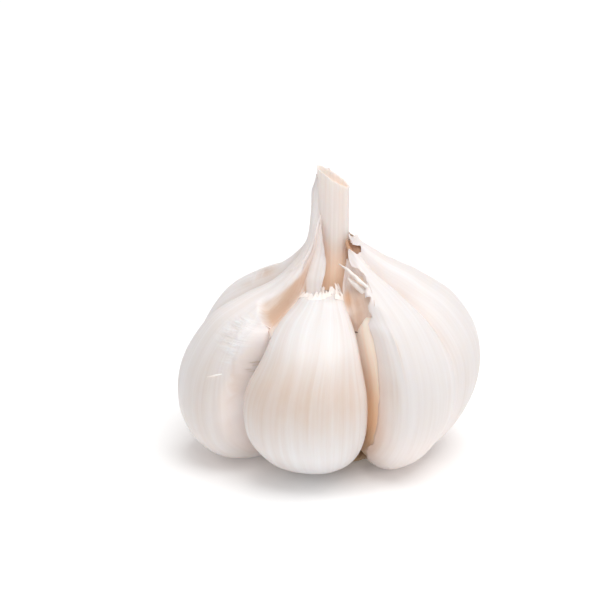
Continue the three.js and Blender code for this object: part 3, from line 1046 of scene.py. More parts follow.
@dataclass
class Wrapper:
    """The papery skin round the bulb: torn open at the front, drawn up into a sheath on the stem.

    Edges and folds are (station, value) pairs. The top edge and the slot's corners are (angle,
    station) pairs. A sag is how deep the skin sinks into a crease, with one value a station.
    """

    name: str = "torn_wrapper"
    finish: VeinedFinish = WRAPPER
    form: BulbForm = field(default_factory=lambda: FORM)
    lift: float = 0.15
    low: float = 0.0
    curl: float = 0.28
    warmth: float = 0.0
    hug_left: tuple[float, float] = (7.1, 7.95)
    hug_right: tuple[float, float] = (7.0, 8.2)
    clear: float = 0.3
    tuck: float = -0.3
    thickness: float = 0.2
    columns: Pairs = (
        (21, 0.33), (33, 0.6), (80, 2.4), (238, 0.8), (262, 2.4), (290, 0.7), (308, 0.33), (320, 0.6),
        (355, 0),
    )
    rows: Pairs = ((1.05, 0.1), (7.0, 0.075), (9.2, 0.06), (11.6, 0.12), (14.0, 0))
    sag: tuple[float, ...] = (0.3, 0.3, 0.5, 0.9, 1.3, 1.6, 2.0, 2.8, 3.4, 3.0, 1.6, 0.7, 0.2, 0, 0)
    sag_left: tuple[float, ...] = (0.3, 0.3, 0.5, 0.9, 1.3, 1.6, 1.6, 1.6, 3.6, 2.6, 1.5, 0.7, 0.2, 0, 0)
    sag_right: tuple[float, ...] = (0.3, 0.3, 0.5, 0.9, 1.3, 1.6, 1.4, 0.9, 0.7, 0.6, 0.5, 0.4, 0.2, 0, 0)
    sag_behind: tuple[float, ...] = (0.3, 0.3, 0.5, 0.9, 1.6, 2.4, 3.2, 4.2, 4.8, 3.8, 1.8, 0.7, 0.2, 0, 0)
    left_fold: Pairs = (
        (7.0, 0.95), (7.6, 0.95), (7.95, 0.8), (8.23, 0.45), (8.5, 0.55), (9.03, 0.6), (9.43, 0.74),
        (9.85, 0.95),
    )
    right_fold: Pairs = (
        (7.2, 0.9), (7.5, 0.8), (7.9, 0.8), (8.1, 0.64), (8.35, 0.75), (8.65, 0.4), (9.3, 0.28), (10, 0.1),
        (10.7, 0.0),
    )
    left_edge: Pairs = (
        (1, -11), (2, -3), (3, -0.8), (4, -0.4), (5, -0.4), (6, -0.4), (7.0, -0.4), (7.2, 2), (7.5, 6),
        (8.4, 8), (8.8, 13), (9.1, 26), (9.3, 31), (9.5, 34), (9.8, 38), (10.22, 38), (10.84, 33),
        (11.64, 18), (12.33, -1), (13.18, -9), (14, -18),
    )
    right_edge: Pairs = (
        (1, 9), (2, 4.5), (3, 1.0), (4, 0.9), (5, 0.8), (6, 0.9), (6.7, 0.7), (7.05, 1.0), (7.5, 1.5),
        (7.7, 4.0), (7.95, 2.8), (8.1, 6.5), (8.3, 3.8), (8.55, 5.5), (8.7, 11), (9.2, 13.5), (9.5, 11),
        (9.8, 7), (10.0, 6.5), (10.2, 8), (10.5, 12), (10.72, 17), (11.1, 23), (11.4, 27),
    )
    top_edge: Pairs = (
        (20, 11.3), (48, 11.4), (56, 11.45), (64, 11.3), (72, 11.2), (88, 11.2), (98, 10.95), (120, 10.9),
        (134, 10.95), (142, 11.3), (156, 12.1), (170, 13.2), (190, 13.9), (230, 14), (280, 13.8), (345, 13.9),
    )
    slot: Pairs = ((46, 11.2), (73, 10.42), (66, 10.1), (43, 10.12), (34, 11.0))
    layer_edge: Pairs = ((4.0, 311.2), (4.5, 310.7), (5.1, 310.5), (6.3, 312.6), (7.2, 311.5))
    # Where the painted shade on the valley's floor runs: degrees from the left crease, by station.
    valley_floor: Pairs = ((8.1, -2), (8.5, -2), (8.9, -4.5), (9.4, -4.5), (9.85, -1))
    station_degrees: float = 14
    ridges: tuple[Patch, ...] = (
        Patch(0.35, 243.5, 1.4, 8.5, 0.35),
        Patch(0.3, 247, 1.6, 7.85, 0.22),
        Patch(0.2, 28.4, 0.7, 6.65, 0.6),
    )
    crinkles: tuple[Patch, ...] = (Patch(1.5, 305, 6.0, 7.25, 0.45), Patch(0.9, 311, 3.0, 6.65, 0.4))
    crumple: Patch = Patch(0.5, 247, 5.0, 8.1, 0.5)
    # Spots of painted light: a glow on the left lobe's upper part, and one low on the right lobe that stands
    # in for light bounced from the floor.
    painted_light_spots: tuple[Patch, ...] = (Patch(0.4, 292, 12, 7.9, 0.6), Patch(0.35, 45, 20, 3.2, 1.2))
    stains_and_shade: tuple[Patch, ...] = (
        Patch(0.65, 247.5, 4.0, 8.55, 0.38),
        # A painted shadow line under the rolled wrinkle.
        Patch(0.3, 250.5, 1.8, 7.85, 0.3),
        Patch(0.9, 320.5, 2.5, 9.42, 0.14),
        Patch(0.3, 28.9, 0.45, 6.6, 0.4),
        # Mostly painted shade over the left lobe's middle, with a warmer tone.
        Patch(0.25, 305, 9, 5.6, 1.5),
    )
    streaked: Patch = Patch(0.3, 24.5, 3.0, 5.6, 0.6)
    noise: Waver = field(default_factory=lambda: Waver(5))

    def free(self, angle: Array, station: Array) -> Array:
        """The degrees to the left torn edge, before it is made ragged."""
        return self.form.crease(self.form.count, station) + along(self.left_edge, station) - angle

    def kept(self, angle: Array, station: Array) -> Array:
        """Above zero where there is skin: the degrees or so to its nearest torn edge.

        Args:
            angle: angles round the bulb.
            station: stations up it.

        Returns:
            The distance, which is below zero where the skin is torn away.
        """
        ragged = self.noise.rough(station * 2.6, 2.5, 4)
        shred = self.noise.rough(station * 3.1 + 40, 8.5, 4)
        teeth = self.noise.rough(angle * 0.22, 30.5, 4)
        fine = 0.9 + 2.2 * smoothstep(station, 6.8, 9)
        from_right = angle - self.form.crease(self.form.right, station) - along(self.right_edge, station)
        from_right = from_right - 0.8 * fine * (ragged + 0.2)
        from_left = self.free(angle, station) + 0.5 * fine * (shred - 0.5)
        from_top = (along(self.top_edge, angle) - station + 0.12 * teeth) * self.station_degrees
        from_below = (station - self.low + 0.03 * teeth) * self.station_degrees
        up = station * self.station_degrees
        corners = np.array(self.slot, float).reshape(-1, 2) * (1, self.station_degrees)
        sides = [
            ((up - a[1]) * (b[0] - a[0]) - (angle - a[0]) * (b[1] - a[1])) / math.dist(a, b)
            for a, b in zip(corners, np.roll(corners, -1, 0))
        ]
        from_slot = np.maximum.reduce([side - 0.4 * teeth for side in sides]) if sides else from_top
        return np.minimum.reduce([from_right, from_left, from_top, from_below, from_slot])

    def place(self, angle: Array, station: Array, depth: Array) -> Array:
        """The skin's surface, before its wrinkles.

        Args:
            angle: angles round the bulb.
            station: stations up it.
            depth: how far in.

        Returns:
            The points.
        """
        form = self.form
        k, x = form.over(angle, station)
        right, left = (k == form.right) & (x < 0), (k == form.left) & (x > 0)
        near = (k + np.sign(x).astype(int)) % form.count
        low = np.where(k == form.right, along(self.right_fold, station), 0.8)
        start = np.where(right | left, lerp(0.2, low, smoothstep(station, 7.2, 8.2)), 0.2)
        share = 0.5 * smoothstep((np.abs(x) - start) / (1 - start), 0, 1)[..., None]
        size = lerp(self.size(k, station), self.size(near, station), share)
        r, z = form.outline(station, depth + self.fall(k, x, station), size)
        free = form.around(angle, r, z)
        free[..., 0] += form.stem_lean * smoothstep(z, 38, 56)
        hug = right * (1 - smoothstep(station, *self.hug_right))
        hug = hug + left * (1 - smoothstep(station, *self.hug_left))
        begin = 0.45 * smoothstep(station, 6.0, 7.8)
        hug = hug * smoothstep((np.abs(x) - begin) / 0.5, 0, 1)
        climb = (k == form.bare) * smoothstep(1 - np.abs(x), 0, 0.24)
        climb = climb * smoothstep(station, 6.9, 7.2) * (1 - smoothstep(station, 9.1, 9.7))
        climb = np.maximum(climb, ((k == form.bare) & (x < 0)) * (1 - smoothstep(station, *self.hug_left)))
        s = np.minimum(np.abs(x) / form.fullness(k, station, x), 0.995)
        turn = np.arcsin(s ** (form.power(k, station, x) / 2))
        turn = np.sign(x) * (turn + 0.5 * (k == form.left) * smoothstep(x, 0.93, 1))
        tucked = lerp(self.clear, self.tuck, smoothstep(1 - np.abs(x), 0.0, 0.15))
        above = np.where(k == form.bare, tucked, 0)
        held = form.section(k, station, turn, depth - above, above - depth)
        return lerp(free, held, np.maximum(hug, climb)[..., None])

    def size(self, k: Array, station: Array) -> Array:
        """The outline's size over a clove: over the bare one it comes down on the crown.

        Args:
            k: the number of the clove, or of the one at each place.
            station: stations up it.

        Returns:
            Reach, stretch, drop and lift at each place.
        """
        stretch = lerp(0.955, 1.04, smoothstep(station, 9.2, 10.3))
        bare = together(self.form.reach, stretch, 0.0, 0.0)
        return np.where((k == self.form.bare)[..., None], bare, self.form.sizes[k])

    def fall(self, k: Array, x: Array, station: Array) -> Array:
        """How far the skin sinks towards the crease beside it, deepest in the folds by the opening.

        Args:
            k: the number of the clove, or of the one at each place.
            x: the distance from its middle, from -1 to 1.
            station: stations up it.

        Returns:
            The depth, in millimetres.
        """
        form = self.form
        low, high = form.crease(k, station), form.crease(k + 1, station)
        crease = (k + (x > 0)) % form.count
        rows = np.arange(len(self.sag))
        deep = np.interp(station, rows, self.sag)
        sags = {form.bare: self.sag_left, form.right: self.sag_right, form.left: self.sag_behind}
        for number, sag in sags.items():
            deep = np.where(crease == number, np.interp(station, rows, sag), deep)
        shape = np.abs(x) ** 2.6
        upper = smoothstep(station, 7.0, 7.8)
        for lobe, side, table in ((form.left, x > 0, self.left_fold), (form.right, x < 0, self.right_fold)):
            start = along(table, station)
            fold = np.clip((np.abs(x) - start) / (1 - start), 0, 1) ** 1.1
            shape = np.where((k == lobe) & side, lerp(shape, fold, upper), shape)
        angle = (low + high) / 2 + x * (high - low) / 2
        below = along(self.top_edge, angle) - station
        snug = 1 - np.minimum(smoothstep(self.free(angle, station), 0, 30), smoothstep(below, 0, 0.7))
        return deep * shape + 0.95 * snug * smoothstep(station, 11.0, 12.6)

    def relief(self, angle: Array, station: Array) -> Array:
        """How far the wrinkles, pleats and ridges stand out, in millimetres.

        Args:
            angle: angles round the bulb.
            station: stations up it.

        Returns:
            The height over the surface at each place.
        """
        wave = self.noise
        veil = bell(angle, 326, 26)
        pleats = 0.4 * wave.rough(angle * 0.07, station * 0.2, 2) * bell(station, 10.0, 1.7)
        pleats = pleats * (1 - 0.6 * veil)
        folds = np.sin(np.radians(angle * 19) + 2 * wave.at(angle * 0.05, station * 0.4))
        pleats += 0.08 * folds * smoothstep(station, 9.5, 11.5) * (1 - 0.5 * veil)
        cockle = 0.06 * wave.rough(angle * 0.16 + 9, station * 1.3, 3) * smoothstep(station, 2, 4)
        crinkle = 0.2 * wave.rough(angle * 0.06 + 3, station * 3.5 + 1.5 * wave.at(angle * 0.2, station), 2)
        crinkle = crinkle * self.creased(angle, station)
        crest = 0.35 * bell(angle - 286 - 22 * smoothstep(station, 9.2, 10.4), 0.0, 2.2)
        crest = crest * smoothstep(station, 8.0, 8.6) * (1 - smoothstep(station, 10.4, 11.2))
        ridges = patched(self.ridges, angle, station)
        return pleats + cockle + crinkle + crest + ridges - 0.25 * self.layer(angle, station)

    def creased(self, angle: Array, station: Array) -> Array:
        """How finely crinkled the skin is: beside the opening, and over the shoulder behind the left lobe.

        Args:
            angle: angles round the bulb.
            station: stations up it.

        Returns:
            The share at each place.
        """
        beside = patched(self.crinkles, angle, station) * (1 - smoothstep(station, 7.55, 7.85))
        return beside + self.crumple.at(angle, station)

    def painted_light(self, angle: Array, station: Array) -> Array:
        """Where a painted glow lifts the shade: the left lobe's flank by its crease, the right torn edge, the
        veil and the painted light spots.

        Args:
            angle: angles round the bulb.
            station: stations up it.

        Returns:
            The share at each place.
        """
        k, x = self.form.over(angle, station)
        flank = (k == self.form.left) * smoothstep(x, 0.84, 1.0)
        flank = flank * np.maximum(bell(station, 5.4, 2.2), 1.1 * bell(station, 7.3, 0.5))
        edge = np.exp(-np.abs(angle - self.form.crease(self.form.right, station)) / 1.3)
        edge = 0.9 * edge * (1 - smoothstep(station, 6.8, 7.3))
        veil = 0.5 * bell(angle, 317, 22) * smoothstep(station, 8.8, 9.6)
        veil = veil * (1 - smoothstep(station, 12.5, 13.5))
        return flank + veil + edge + patched(self.painted_light_spots, angle, station)

    def line(self, station: Array) -> Array:
        """The angle of the torn edge of the left lobe's outermost layer."""
        return along(self.layer_edge, station) + 0.5 * self.noise.rough(station * 4.5, 17.5, 3)

    def layer(self, angle: Array, station: Array) -> Array:
        """1 where the left lobe has lost its outermost layer, beside the front clove.

        Args:
            angle: angles round the bulb.
            station: stations up it.

        Returns:
            The share at each place.
        """
        gone = smoothstep(angle - self.line(station), -0.15, 0.15) * smoothstep(330 - angle, 0, 2)
        return gone * smoothstep(station, 3.8, 4.1) * (1 - smoothstep(station, 6.2, 6.9))

    def hollow_tan_and_shade(self, angle: Array, station: Array, cloud: Array) -> Array:
        """How warm the skin is in its folds, in the hollows by the opening and on the valley's floor: partly
        its tan colour and partly painted shade where it sinks.

        Args:
            angle: angles round the bulb.
            station: stations up it.
            cloud: slow noise that makes it uneven.

        Returns:
            The share at each place.
        """
        form = self.form
        k, x = form.over(angle, station)
        sunk = self.fall(k, x, station)
        from_left = angle - form.crease(form.count, station)
        left, right = np.abs(from_left), np.abs(angle - form.crease(form.right, station))
        behind = np.abs(angle - form.crease(form.left, station))
        past = smoothstep(from_left, 1, 12) * smoothstep(station, 8.3, 8.8)
        begun = smoothstep(station + 0.5 * ((k == form.bare) | (x > 0.975)), 7.75, 7.95)
        # Painted shade, partly tan, where the skin sinks into the hollows by the opening.
        hollow = smoothstep(sunk, 0.3, 1.1) * smoothstep(station, 6.8, 7.3) * (1 + 0.35 * cloud)
        hollow = hollow * (1 - 0.7 * smoothstep(station, 9.8, 10.7)) * (1 - 0.75 * past)
        hollow = hollow * np.where(right < left, 0.8, 0.48 * begun)
        beside = smoothstep(30 - np.minimum(left, right), 0, 10)
        # Painted shade, partly tan, in the crease behind the left lobe, and more wherever the skin sinks
        # deep.
        shoulder = smoothstep(sunk, 1.0, 3.2) * bell(behind, 0, 9) * bell(station, 8.9, 0.6)
        # Painted shade along the valley's darkest line.
        floor = smoothstep(sunk, 0.2, 0.8) * bell(from_left, along(self.valley_floor, station), 4.5)
        floor = floor * smoothstep(station, 7.9, 8.3) * (1 - smoothstep(station, 9.5, 10.1))
        return 1.1 * hollow * beside + 0.8 * shoulder + 0.25 * smoothstep(sunk, 1.2, 3.5) + 0.55 * floor

    def values(self, angle: Array, station: Array) -> tuple[Array, Array]:
        """How warm and how deep in colour the skin is at each place, with painted shade in its hollows and
        creases.

        Args:
            angle: angles round the bulb.
            station: stations up it.

        Returns:
            The two shares at each place.
        """
        form, wave = self.form, self.noise
        _, x = form.over(angle, station)
        left = np.abs(angle - form.crease(form.count, station))
        right = np.abs(angle - form.crease(form.right, station))
        low = 1 - smoothstep(station, 2.0, 6.0)
        flank = 1 - smoothstep(station, 6.8, 7.3)
        cloud = wave.rough(angle * 0.06, station * 0.7, 3)
        streak = 0.6 + 0.6 * wave.rough(angle * 1.2, station * 0.3, 2)
        spot = bell(station, 5.8, 0.5) * (1 - smoothstep(x, 0.965, 0.985))
        rim = self.warmth * smoothstep(along(self.top_edge, angle) - station, -0.1, 0.05)
        warm = (0.5 + 0.5 * low) * np.exp(-right / 4.5) * flank
        warm += (0.03 + 0.3 * low) * np.exp(-left / 2.2) * flank
        warm += (0.34 + 0.3 * cloud) * self.layer(angle, station) * spot
        warm += self.hollow_tan_and_shade(angle, station, cloud) + rim
        warm += patched(self.stains_and_shade, angle, station) + self.streaked.at(angle, station) * streak
        warm += 0.5 * (1 - smoothstep(station, 1.0, 2.2)) + 0.14 * np.clip(cloud, 0, 1)
        # Deep: browner by the creases low down, partly painted shade; through the finish's painted_glow it
        # also glows there.
        deep = 0.3 * np.exp(-right / 2.2) * low * flank + 0.25 * np.exp(-left / 0.8) * low
        return warm, deep + 0.6 * rim

    def outward(self, angle: Array, station: Array) -> Array:
        """The way that the skin faces, before its wrinkles.

        Args:
            angle: angles round the bulb.
            station: stations up it.

        Returns:
            One vector a place.
        """
        turn, step = 0.1, 0.02
        across = self.place(angle + turn, station, self.lift) - self.place(angle - turn, station, self.lift)
        up = self.place(angle, station + step, self.lift) - self.place(angle, station - step, self.lift)
        return unit(np.cross(across, up))

    def build(self) -> None:
        """Makes the skin as a thin closed sheet."""
        us, vs = spaced(self.columns), spaced(self.rows)
        places, faces = trimmed(us, vs, self.kept(*np.meshgrid(us, vs, indexing="ij")))
        angle, station = apart(places)
        base, out = self.place(angle, station, self.lift), self.outward(angle, station)
        radius = np.hypot(base[:, 0], base[:, 1])
        torn = np.clip(self.kept(angle, station), 0, None) * np.radians(1) * np.maximum(radius, 5)
        curl = self.curl * lerp(0.1, 1.0, smoothstep(station, 6.8, 7.6)) * np.exp(-torn / 0.7)
        curl = curl * (0.5 + 0.5 * self.noise.at(station * 3, angle * 0.2))
        roll = 0.55 * np.exp(-np.clip(self.free(angle, station), 0, 90) / 5) * bell(station, 10.3, 0.9)
        top = base + out * (self.relief(angle, station) + curl + roll)[:, None]
        thin = self.thickness * lerp(0.45, 1.0, smoothstep(torn, 0, 0.8))
        count = len(top)
        edges = {(a, b) for f in faces for a, b in zip(f, f[1:] + f[:1])}
        rim = [(a, count + a, count + b, b) for a, b in edges if (b, a) not in edges]
        back = [tuple(count + p for p in face) for face in flipped(faces)]
        warm, deep = self.values(angle, station)
        creased, painted_light = self.creased(angle, station), self.painted_light(angle, station)
        # Painted light on the skin's back by the opening, which lifts its shade.
        inner_painted_light = painted_light + 0.8 * bell(station, 9.6, 0.9) * (angle < 60)
        shell = Shell(
            np.vstack([top, top - out * thin[:, None]]),
            faces + back + rim,
            flow=np.tile(together(angle * 0.42, station * 4.6, 3.0), (2, 1)),
            warm=np.concatenate([warm, warm + 0.25]),
            deep=np.tile(deep, 2),
            creased=np.tile(creased, 2),
            painted_light=np.concatenate([painted_light, inner_painted_light]),
        )
        settle(shell.piece(self.name, self.finish.material()), Slot.SKIN, "outer_skin")


COLLAR = Wrapper(
    name="collar_skin",
    finish=INNER_SKIN,
    lift=0.9,
    low=10.0,
    curl=0.1,
    warmth=1.2,
    columns=((36, 0.8), (120, 0)),
    rows=((9.9, 0.06), (11.7, 0)),
    left_edge=((0, -195), (14, -195)),
    right_edge=((9.0, 17), (11, 17), (11.7, 30)),
    top_edge=((20, 10.9), (44, 11.15), (56, 11.1), (70, 10.95), (120, 10.8)),
    slot=(),
)


# ---- Ribbons: rolled and folded strips of dry skin ----
@dataclass(frozen=True)
class Ribbon:
    """A strip of dry skin along a path, rolled to a share of a turn."""

    name: str
    path: tuple[Point, ...]
    widths: tuple[float, ...]
    roll: float
    facing: Point
    thickness: float = 0.16
    waver: float = 0.15
    steps: int = 60
    across: int = 18

    def shell(self, seed: int) -> Shell:
        """Sweeps the rolled section along the path.

        Args:
            seed: for the strip's unevenness.

        Returns:
            The closed strip.
        """
        curve, noise = Curve(self.path), Waver(seed)
        t = np.linspace(0, 1, self.steps)
        s = np.linspace(-0.5, 0.5, self.across)
        centre, ahead = curve.at(t * curve.top), curve.ahead(t * curve.top)
        side = unit(np.cross(ahead, np.array(self.facing, float)))
        front = np.cross(side, ahead)
        width = np.interp(t, np.linspace(0, 1, len(self.widths)), self.widths)
        bend = self.roll * 2 * np.pi
        radius = (width / bend)[:, None]
        angle = s * bend * (1 + 0.15 * noise.at(t * 5, 0.0))[:, None]
        tighten = 1 - 0.22 * np.abs(s)
        x = radius * np.sin(angle) * tighten
        y = radius * (np.cos(angle) - 1) * tighten + self.waver * noise.at(t[:, None] * 7, s * 3)
        outer = centre[:, None] + side[:, None] * x[..., None] + front[:, None] * y[..., None]
        normal = side[:, None] * np.sin(angle)[..., None] + front[:, None] * np.cos(angle)[..., None]
        inner = outer - normal * self.thickness
        return Shell.lofted(np.concatenate([outer, inner[:, ::-1]], 1))


# ---- Web: the inner skin that spans the cavity beside the front clove ----
@dataclass(frozen=True)
class Web:
    """A thin sheet that sags between two edges."""

    name: str
    first: tuple[Point, ...]
    second: tuple[Point, ...]
    sag: tuple[float, ...]
    towards: Point
    warm: tuple[float, ...]
    deep: tuple[float, ...]
    across: int = 60
    up: int = 110
    thickness: float = 0.15
    seed: int = 43

    def build(self) -> None:
        """Makes the sheet, closed round its rim."""
        noise = Waver(self.seed)
        u, v = np.linspace(0, 1, self.across)[:, None], np.linspace(0, 1, self.up)[None, :]
        ragged = 0.05 * noise.rough(u * 9, 0.0, 3) * (1 - v) + 0.06 * noise.rough(u * 7, 9.0, 3) * v
        t = np.clip(v + ragged, 0, 1)
        low, high = (curve.at(t * curve.top) for curve in (Curve(self.first), Curve(self.second)))
        steps = np.linspace(0, 1, len(self.sag))
        sag = np.interp(t, steps, self.sag) * np.sin(np.pi * u) * np.sqrt(1.2 - u)
        sag = sag + 0.12 * noise.rough(u * 3 + 2, t * 9, 3) + 0.1 * np.sin(22 * u + 3 * noise.at(t * 3, u))
        top = lerp(low, high, u[..., None]) + np.array(self.towards, float) * sag[..., None]
        out = unit(np.cross(np.gradient(top, axis=0), np.gradient(top, axis=1)))
        warm = np.interp(t, steps, self.warm) * (1 + 0.2 * noise.rough(u * 5, t * 6, 3))
        warm = warm + 0.9 * bell(u, 0.16, 0.13) * bell(t, 0.47, 0.1)
        # deep also drives the skin finish's painted glow here.
        deep = np.interp(t, steps, self.deep) * np.sin(np.pi * u)
        deep = deep + 0.4 * bell(u, 0.14, 0.1) * bell(t, 0.47, 0.08)
        # Painted light on the web's upper part, which lifts its shade.
        painted_light = 0.6 * smoothstep(t, 0.55, 0.8)
        values = {"flow": together(u * 9, t * 12, 150.0), "warm": warm, "deep": deep, "painted_light": painted_light}
        both = {key: np.concatenate([side, side[::-1]]).swapaxes(0, 1) for key, side in values.items()}
        rings = np.concatenate([top, (top - out * self.thickness)[::-1]]).swapaxes(0, 1)
        settle(Shell.lofted(rings, **both).piece(self.name, WRAPPER.material()), Slot.SKIN, "outer_skin")


CAVITY_WEB = Web(
    "cavity_web",
    first=(
        (3.9, -12.1, 28.4), (3.2, -11.8, 31.2), (2.5, -9.8, 33.0), (2.2, -6.8, 35.4), (2.6, -3.9, 37.6),
        (3.0, -2.4, 40.0),
    ),
    second=(
        (7.2, -14.4, 28.0), (8.1, -16.6, 34.5), (7.8, -14.1, 36.5), (7.0, -10.6, 38.0), (6.0, -8.0, 39.3),
        (4.6, -6.3, 40.4),
    ),
    sag=(0.4, 1.2, 1.4, 1.2, 0.8, 0.3),
    towards=(0.1, 0.8, -0.6),
    warm=(0.2, 0.55, 0.5, 0.25, 0.1, 0.1),
    deep=(0.15, 0.35, 0.3, 0.1, 0.0, 0.0),
)


@dataclass
class TornStrips:
    """The rolls of torn skin beside the stem, and the nick torn in the left lobe."""

    strips: tuple[Ribbon, ...] = (
        Ribbon(
            "torn_roll_upper",
            ((1.5, -4.6, 39.7), (3.4, -7.0, 39.1), (5.2, -9.5, 38.2), (7.1, -12.0, 37.3)),
            (0.6, 1.6, 1.9, 1.6),
            0.75,
            (0.2, -1.0, 0.9),
        ),
        Ribbon(
            "torn_roll_lower",
            ((3.2, -7.4, 37.7), (4.4, -8.9, 37.2), (5.8, -10.5, 36.5), (7.0, -11.8, 35.8)),
            (0.7, 1.9, 2.2, 1.4),
            0.5,
            (0.1, -1.0, 0.6),
        ),
        Ribbon(
            "torn_nick",
            ((-24.0, -17.0, 20.75), (-23.1, -17.4, 21.1), (-22.3, -17.65, 21.4), (-21.2, -17.9, 21.7)),
            (0.15, 0.4, 0.5, 0.2),
            0.35,
            (-0.8, -0.6, 0.2),
            waver=0.03,
        ),
    )
    seed: int = 60

    def build(self) -> None:
        """Makes each strip."""
        shred = SHRED.material()
        for seed, strip in enumerate(self.strips, self.seed):
            settle(strip.shell(seed).piece(strip.name, shred), Slot.SKIN, "outer_skin")


# ---- Stem ----
@dataclass
class Stem:
    """The cut stalk: ribbed, with a slanted rim round a sunken middle.

    The cut's rows are (share of the radius, depth) pairs, from the rim to the middle.
    """

    radius: float = 3.2
    foot: float = 2.5
    top: float = 56.2
    lean: float = 0.35
    slope: float = -0.66
    sides: int = 150
    rings: int = 150
    cut: Pairs = (
        (0.99, -0.05), (0.95, -0.1), (0.9, -0.06), (0.86, 0.15), (0.82, 0.7), (0.74, 1.5), (0.58, 2.1),
        (0.35, 2.3), (0.12, 2.4),
    )
    seed: int = 11

    def build(self) -> None:
        """Makes the stem."""
        noise = Waver(self.seed)
        body = together(np.linspace(0, 1, self.rings), 1.0, 0.0)
        cut = together(1.0, *apart(np.array(self.cut, float)))
        share, size, depth = (c[:, None] for c in apart(np.vstack([[0, 0.5, 0], body, cut])))
        angle = np.linspace(-180, 180, self.sides, endpoint=False)[None, :]
        on_side = (np.arange(len(share)) <= self.rings)[:, None]
        ribs = 0.03 * noise.rough(angle * 0.08, share * 0.8, 3) + 0.02 * np.cos(np.radians(angle * 6))
        ribs = ribs * on_side + 0.05 * noise.rough(angle * 0.09, size * 9, 3) * ~on_side
        r = self.radius * (size * (1.0 + 0.03 * bell(share, 0, 0.2)) + ribs * np.minimum(1, size * 2))
        points = FORM.around(angle, r, 0.0)
        points[..., 0] += self.lean * share
        rise = self.top + self.slope * points[..., 0] - self.foot
        rough = 0.12 * noise.rough(angle * 0.08, size * 4, 3) * (share >= 1)
        points[..., 2] = self.foot + share * rise - depth + rough
        z = points[..., 2]
        # Warmer and deeper towards the foot: partly the stem base's tan, and deep also drives a painted glow
        # that lifts its shade.
        warm = 0.8 * (1 - smoothstep(z, 37, 45)) + 0.12 * smoothstep(noise.at(angle * 0.08, share * 2), 0, 1)
        warm = np.where(on_side, warm, lerp(0.45, 0.1, smoothstep(size, 0.7, 0.95)))
        deep = 0.85 * (1 - smoothstep(z, 34, 46)) * on_side
        flow = together(angle * 0.056, np.where(on_side, z, size * 6), 90.0)
        shell = Shell.lofted(points, flow=flow, warm=warm, deep=deep)
        settle(shell.piece("cut_stem", STALK.material()), Slot.STEM, "stem")


# ---- Pieces that node trees make ----
def planted(name: str, sockets: dict[str, str]) -> tuple[Wiring, bpy.types.NodeOutputs]:
    """Starts a geometry node tree.

    Args:
        name: the tree's name.
        sockets: its inputs' names and kinds.

    Returns:
        The tree's wiring, and its inputs to wire from.
    """
    tree = bpy.data.node_groups.new(name, "GeometryNodeTree")
    for key, kind in sockets.items():
        tree.interface.new_socket(key, in_out="INPUT", socket_type=f"NodeSocket{kind}")
    tree.interface.new_socket("Geometry", in_out="OUTPUT", socket_type="NodeSocketGeometry")
    w = Wiring(tree)
    return w, w.node("NodeGroupInput").outputs


def scattered(w: Wiring, copies: dict[str, bpy.types.NodeSocket], material: bpy.types.Material) -> None:
    """Ends a tree: sets the copies on their points as real meshes with their finish.

    Args:
        w: the tree's wiring.
        copies: the points, the shape to copy, its turn and its size.
        material: the finish.
    """
    made = w.node("GeometryNodeInstanceOnPoints", copies)
    real = w.node("GeometryNodeRealizeInstances", {0: made.outputs[0]})
    finish = w.node("GeometryNodeSetMaterial", {"Geometry": real.outputs[0], "Material": material})
    w.node("NodeGroupOutput", {0: finish.outputs[0]})


@dataclass(frozen=True)
class Seats:
    """Places that a node tree sets copies on, each with the way it points and the way it faces."""

    places: Array
    ways: Array
    faces: Array

    def mesh(self, name: str) -> bpy.types.Mesh:
        """The places as a mesh of bare points that carries both directions.

        Args:
            name: its name.

        Returns:
            The mesh.
        """
        made = bpy.data.meshes.new(name)
        made.from_pydata((self.places * MM).tolist(), [], [])
        carry(made, "way", self.ways)
        carry(made, "face", self.faces)
        return made


def grown(
    name: str,
    tree: bpy.types.NodeTree,
    values: dict[str, float],
    material: bpy.types.Material,
    seats: Seats | None = None,
) -> bpy.types.Object:
    """Runs a node tree once and keeps its result as a plain mesh.

    Args:
        name: the piece's name.
        tree: the geometry node tree.
        values: its inputs, by name.
        material: the finish that the tree sets.
        seats: the places that it starts from, if it needs any.

    Returns:
        The piece, with no modifier left on it.
    """
    host = linked(name, seats.mesh(name) if seats else bpy.data.meshes.new(name))
    modifier = host.modifiers.new("grow", "NODES")
    modifier.node_group = tree
    keys = {s.name: s.identifier for s in tree.interface.items_tree if s.in_out == "INPUT"}
    for key, value in values.items():
        modifier[keys[key]] = value
    graph = bpy.context.evaluated_depsgraph_get()
    mesh = bpy.data.meshes.new_from_object(host.evaluated_get(graph), depsgraph=graph)
    host.modifiers.remove(modifier)
    mesh.name = name
    host.data = mesh
    if not mesh.materials:
        mesh.materials.append(material)
    mesh.polygons.foreach_set("use_smooth", [True] * len(mesh.polygons))
    return host


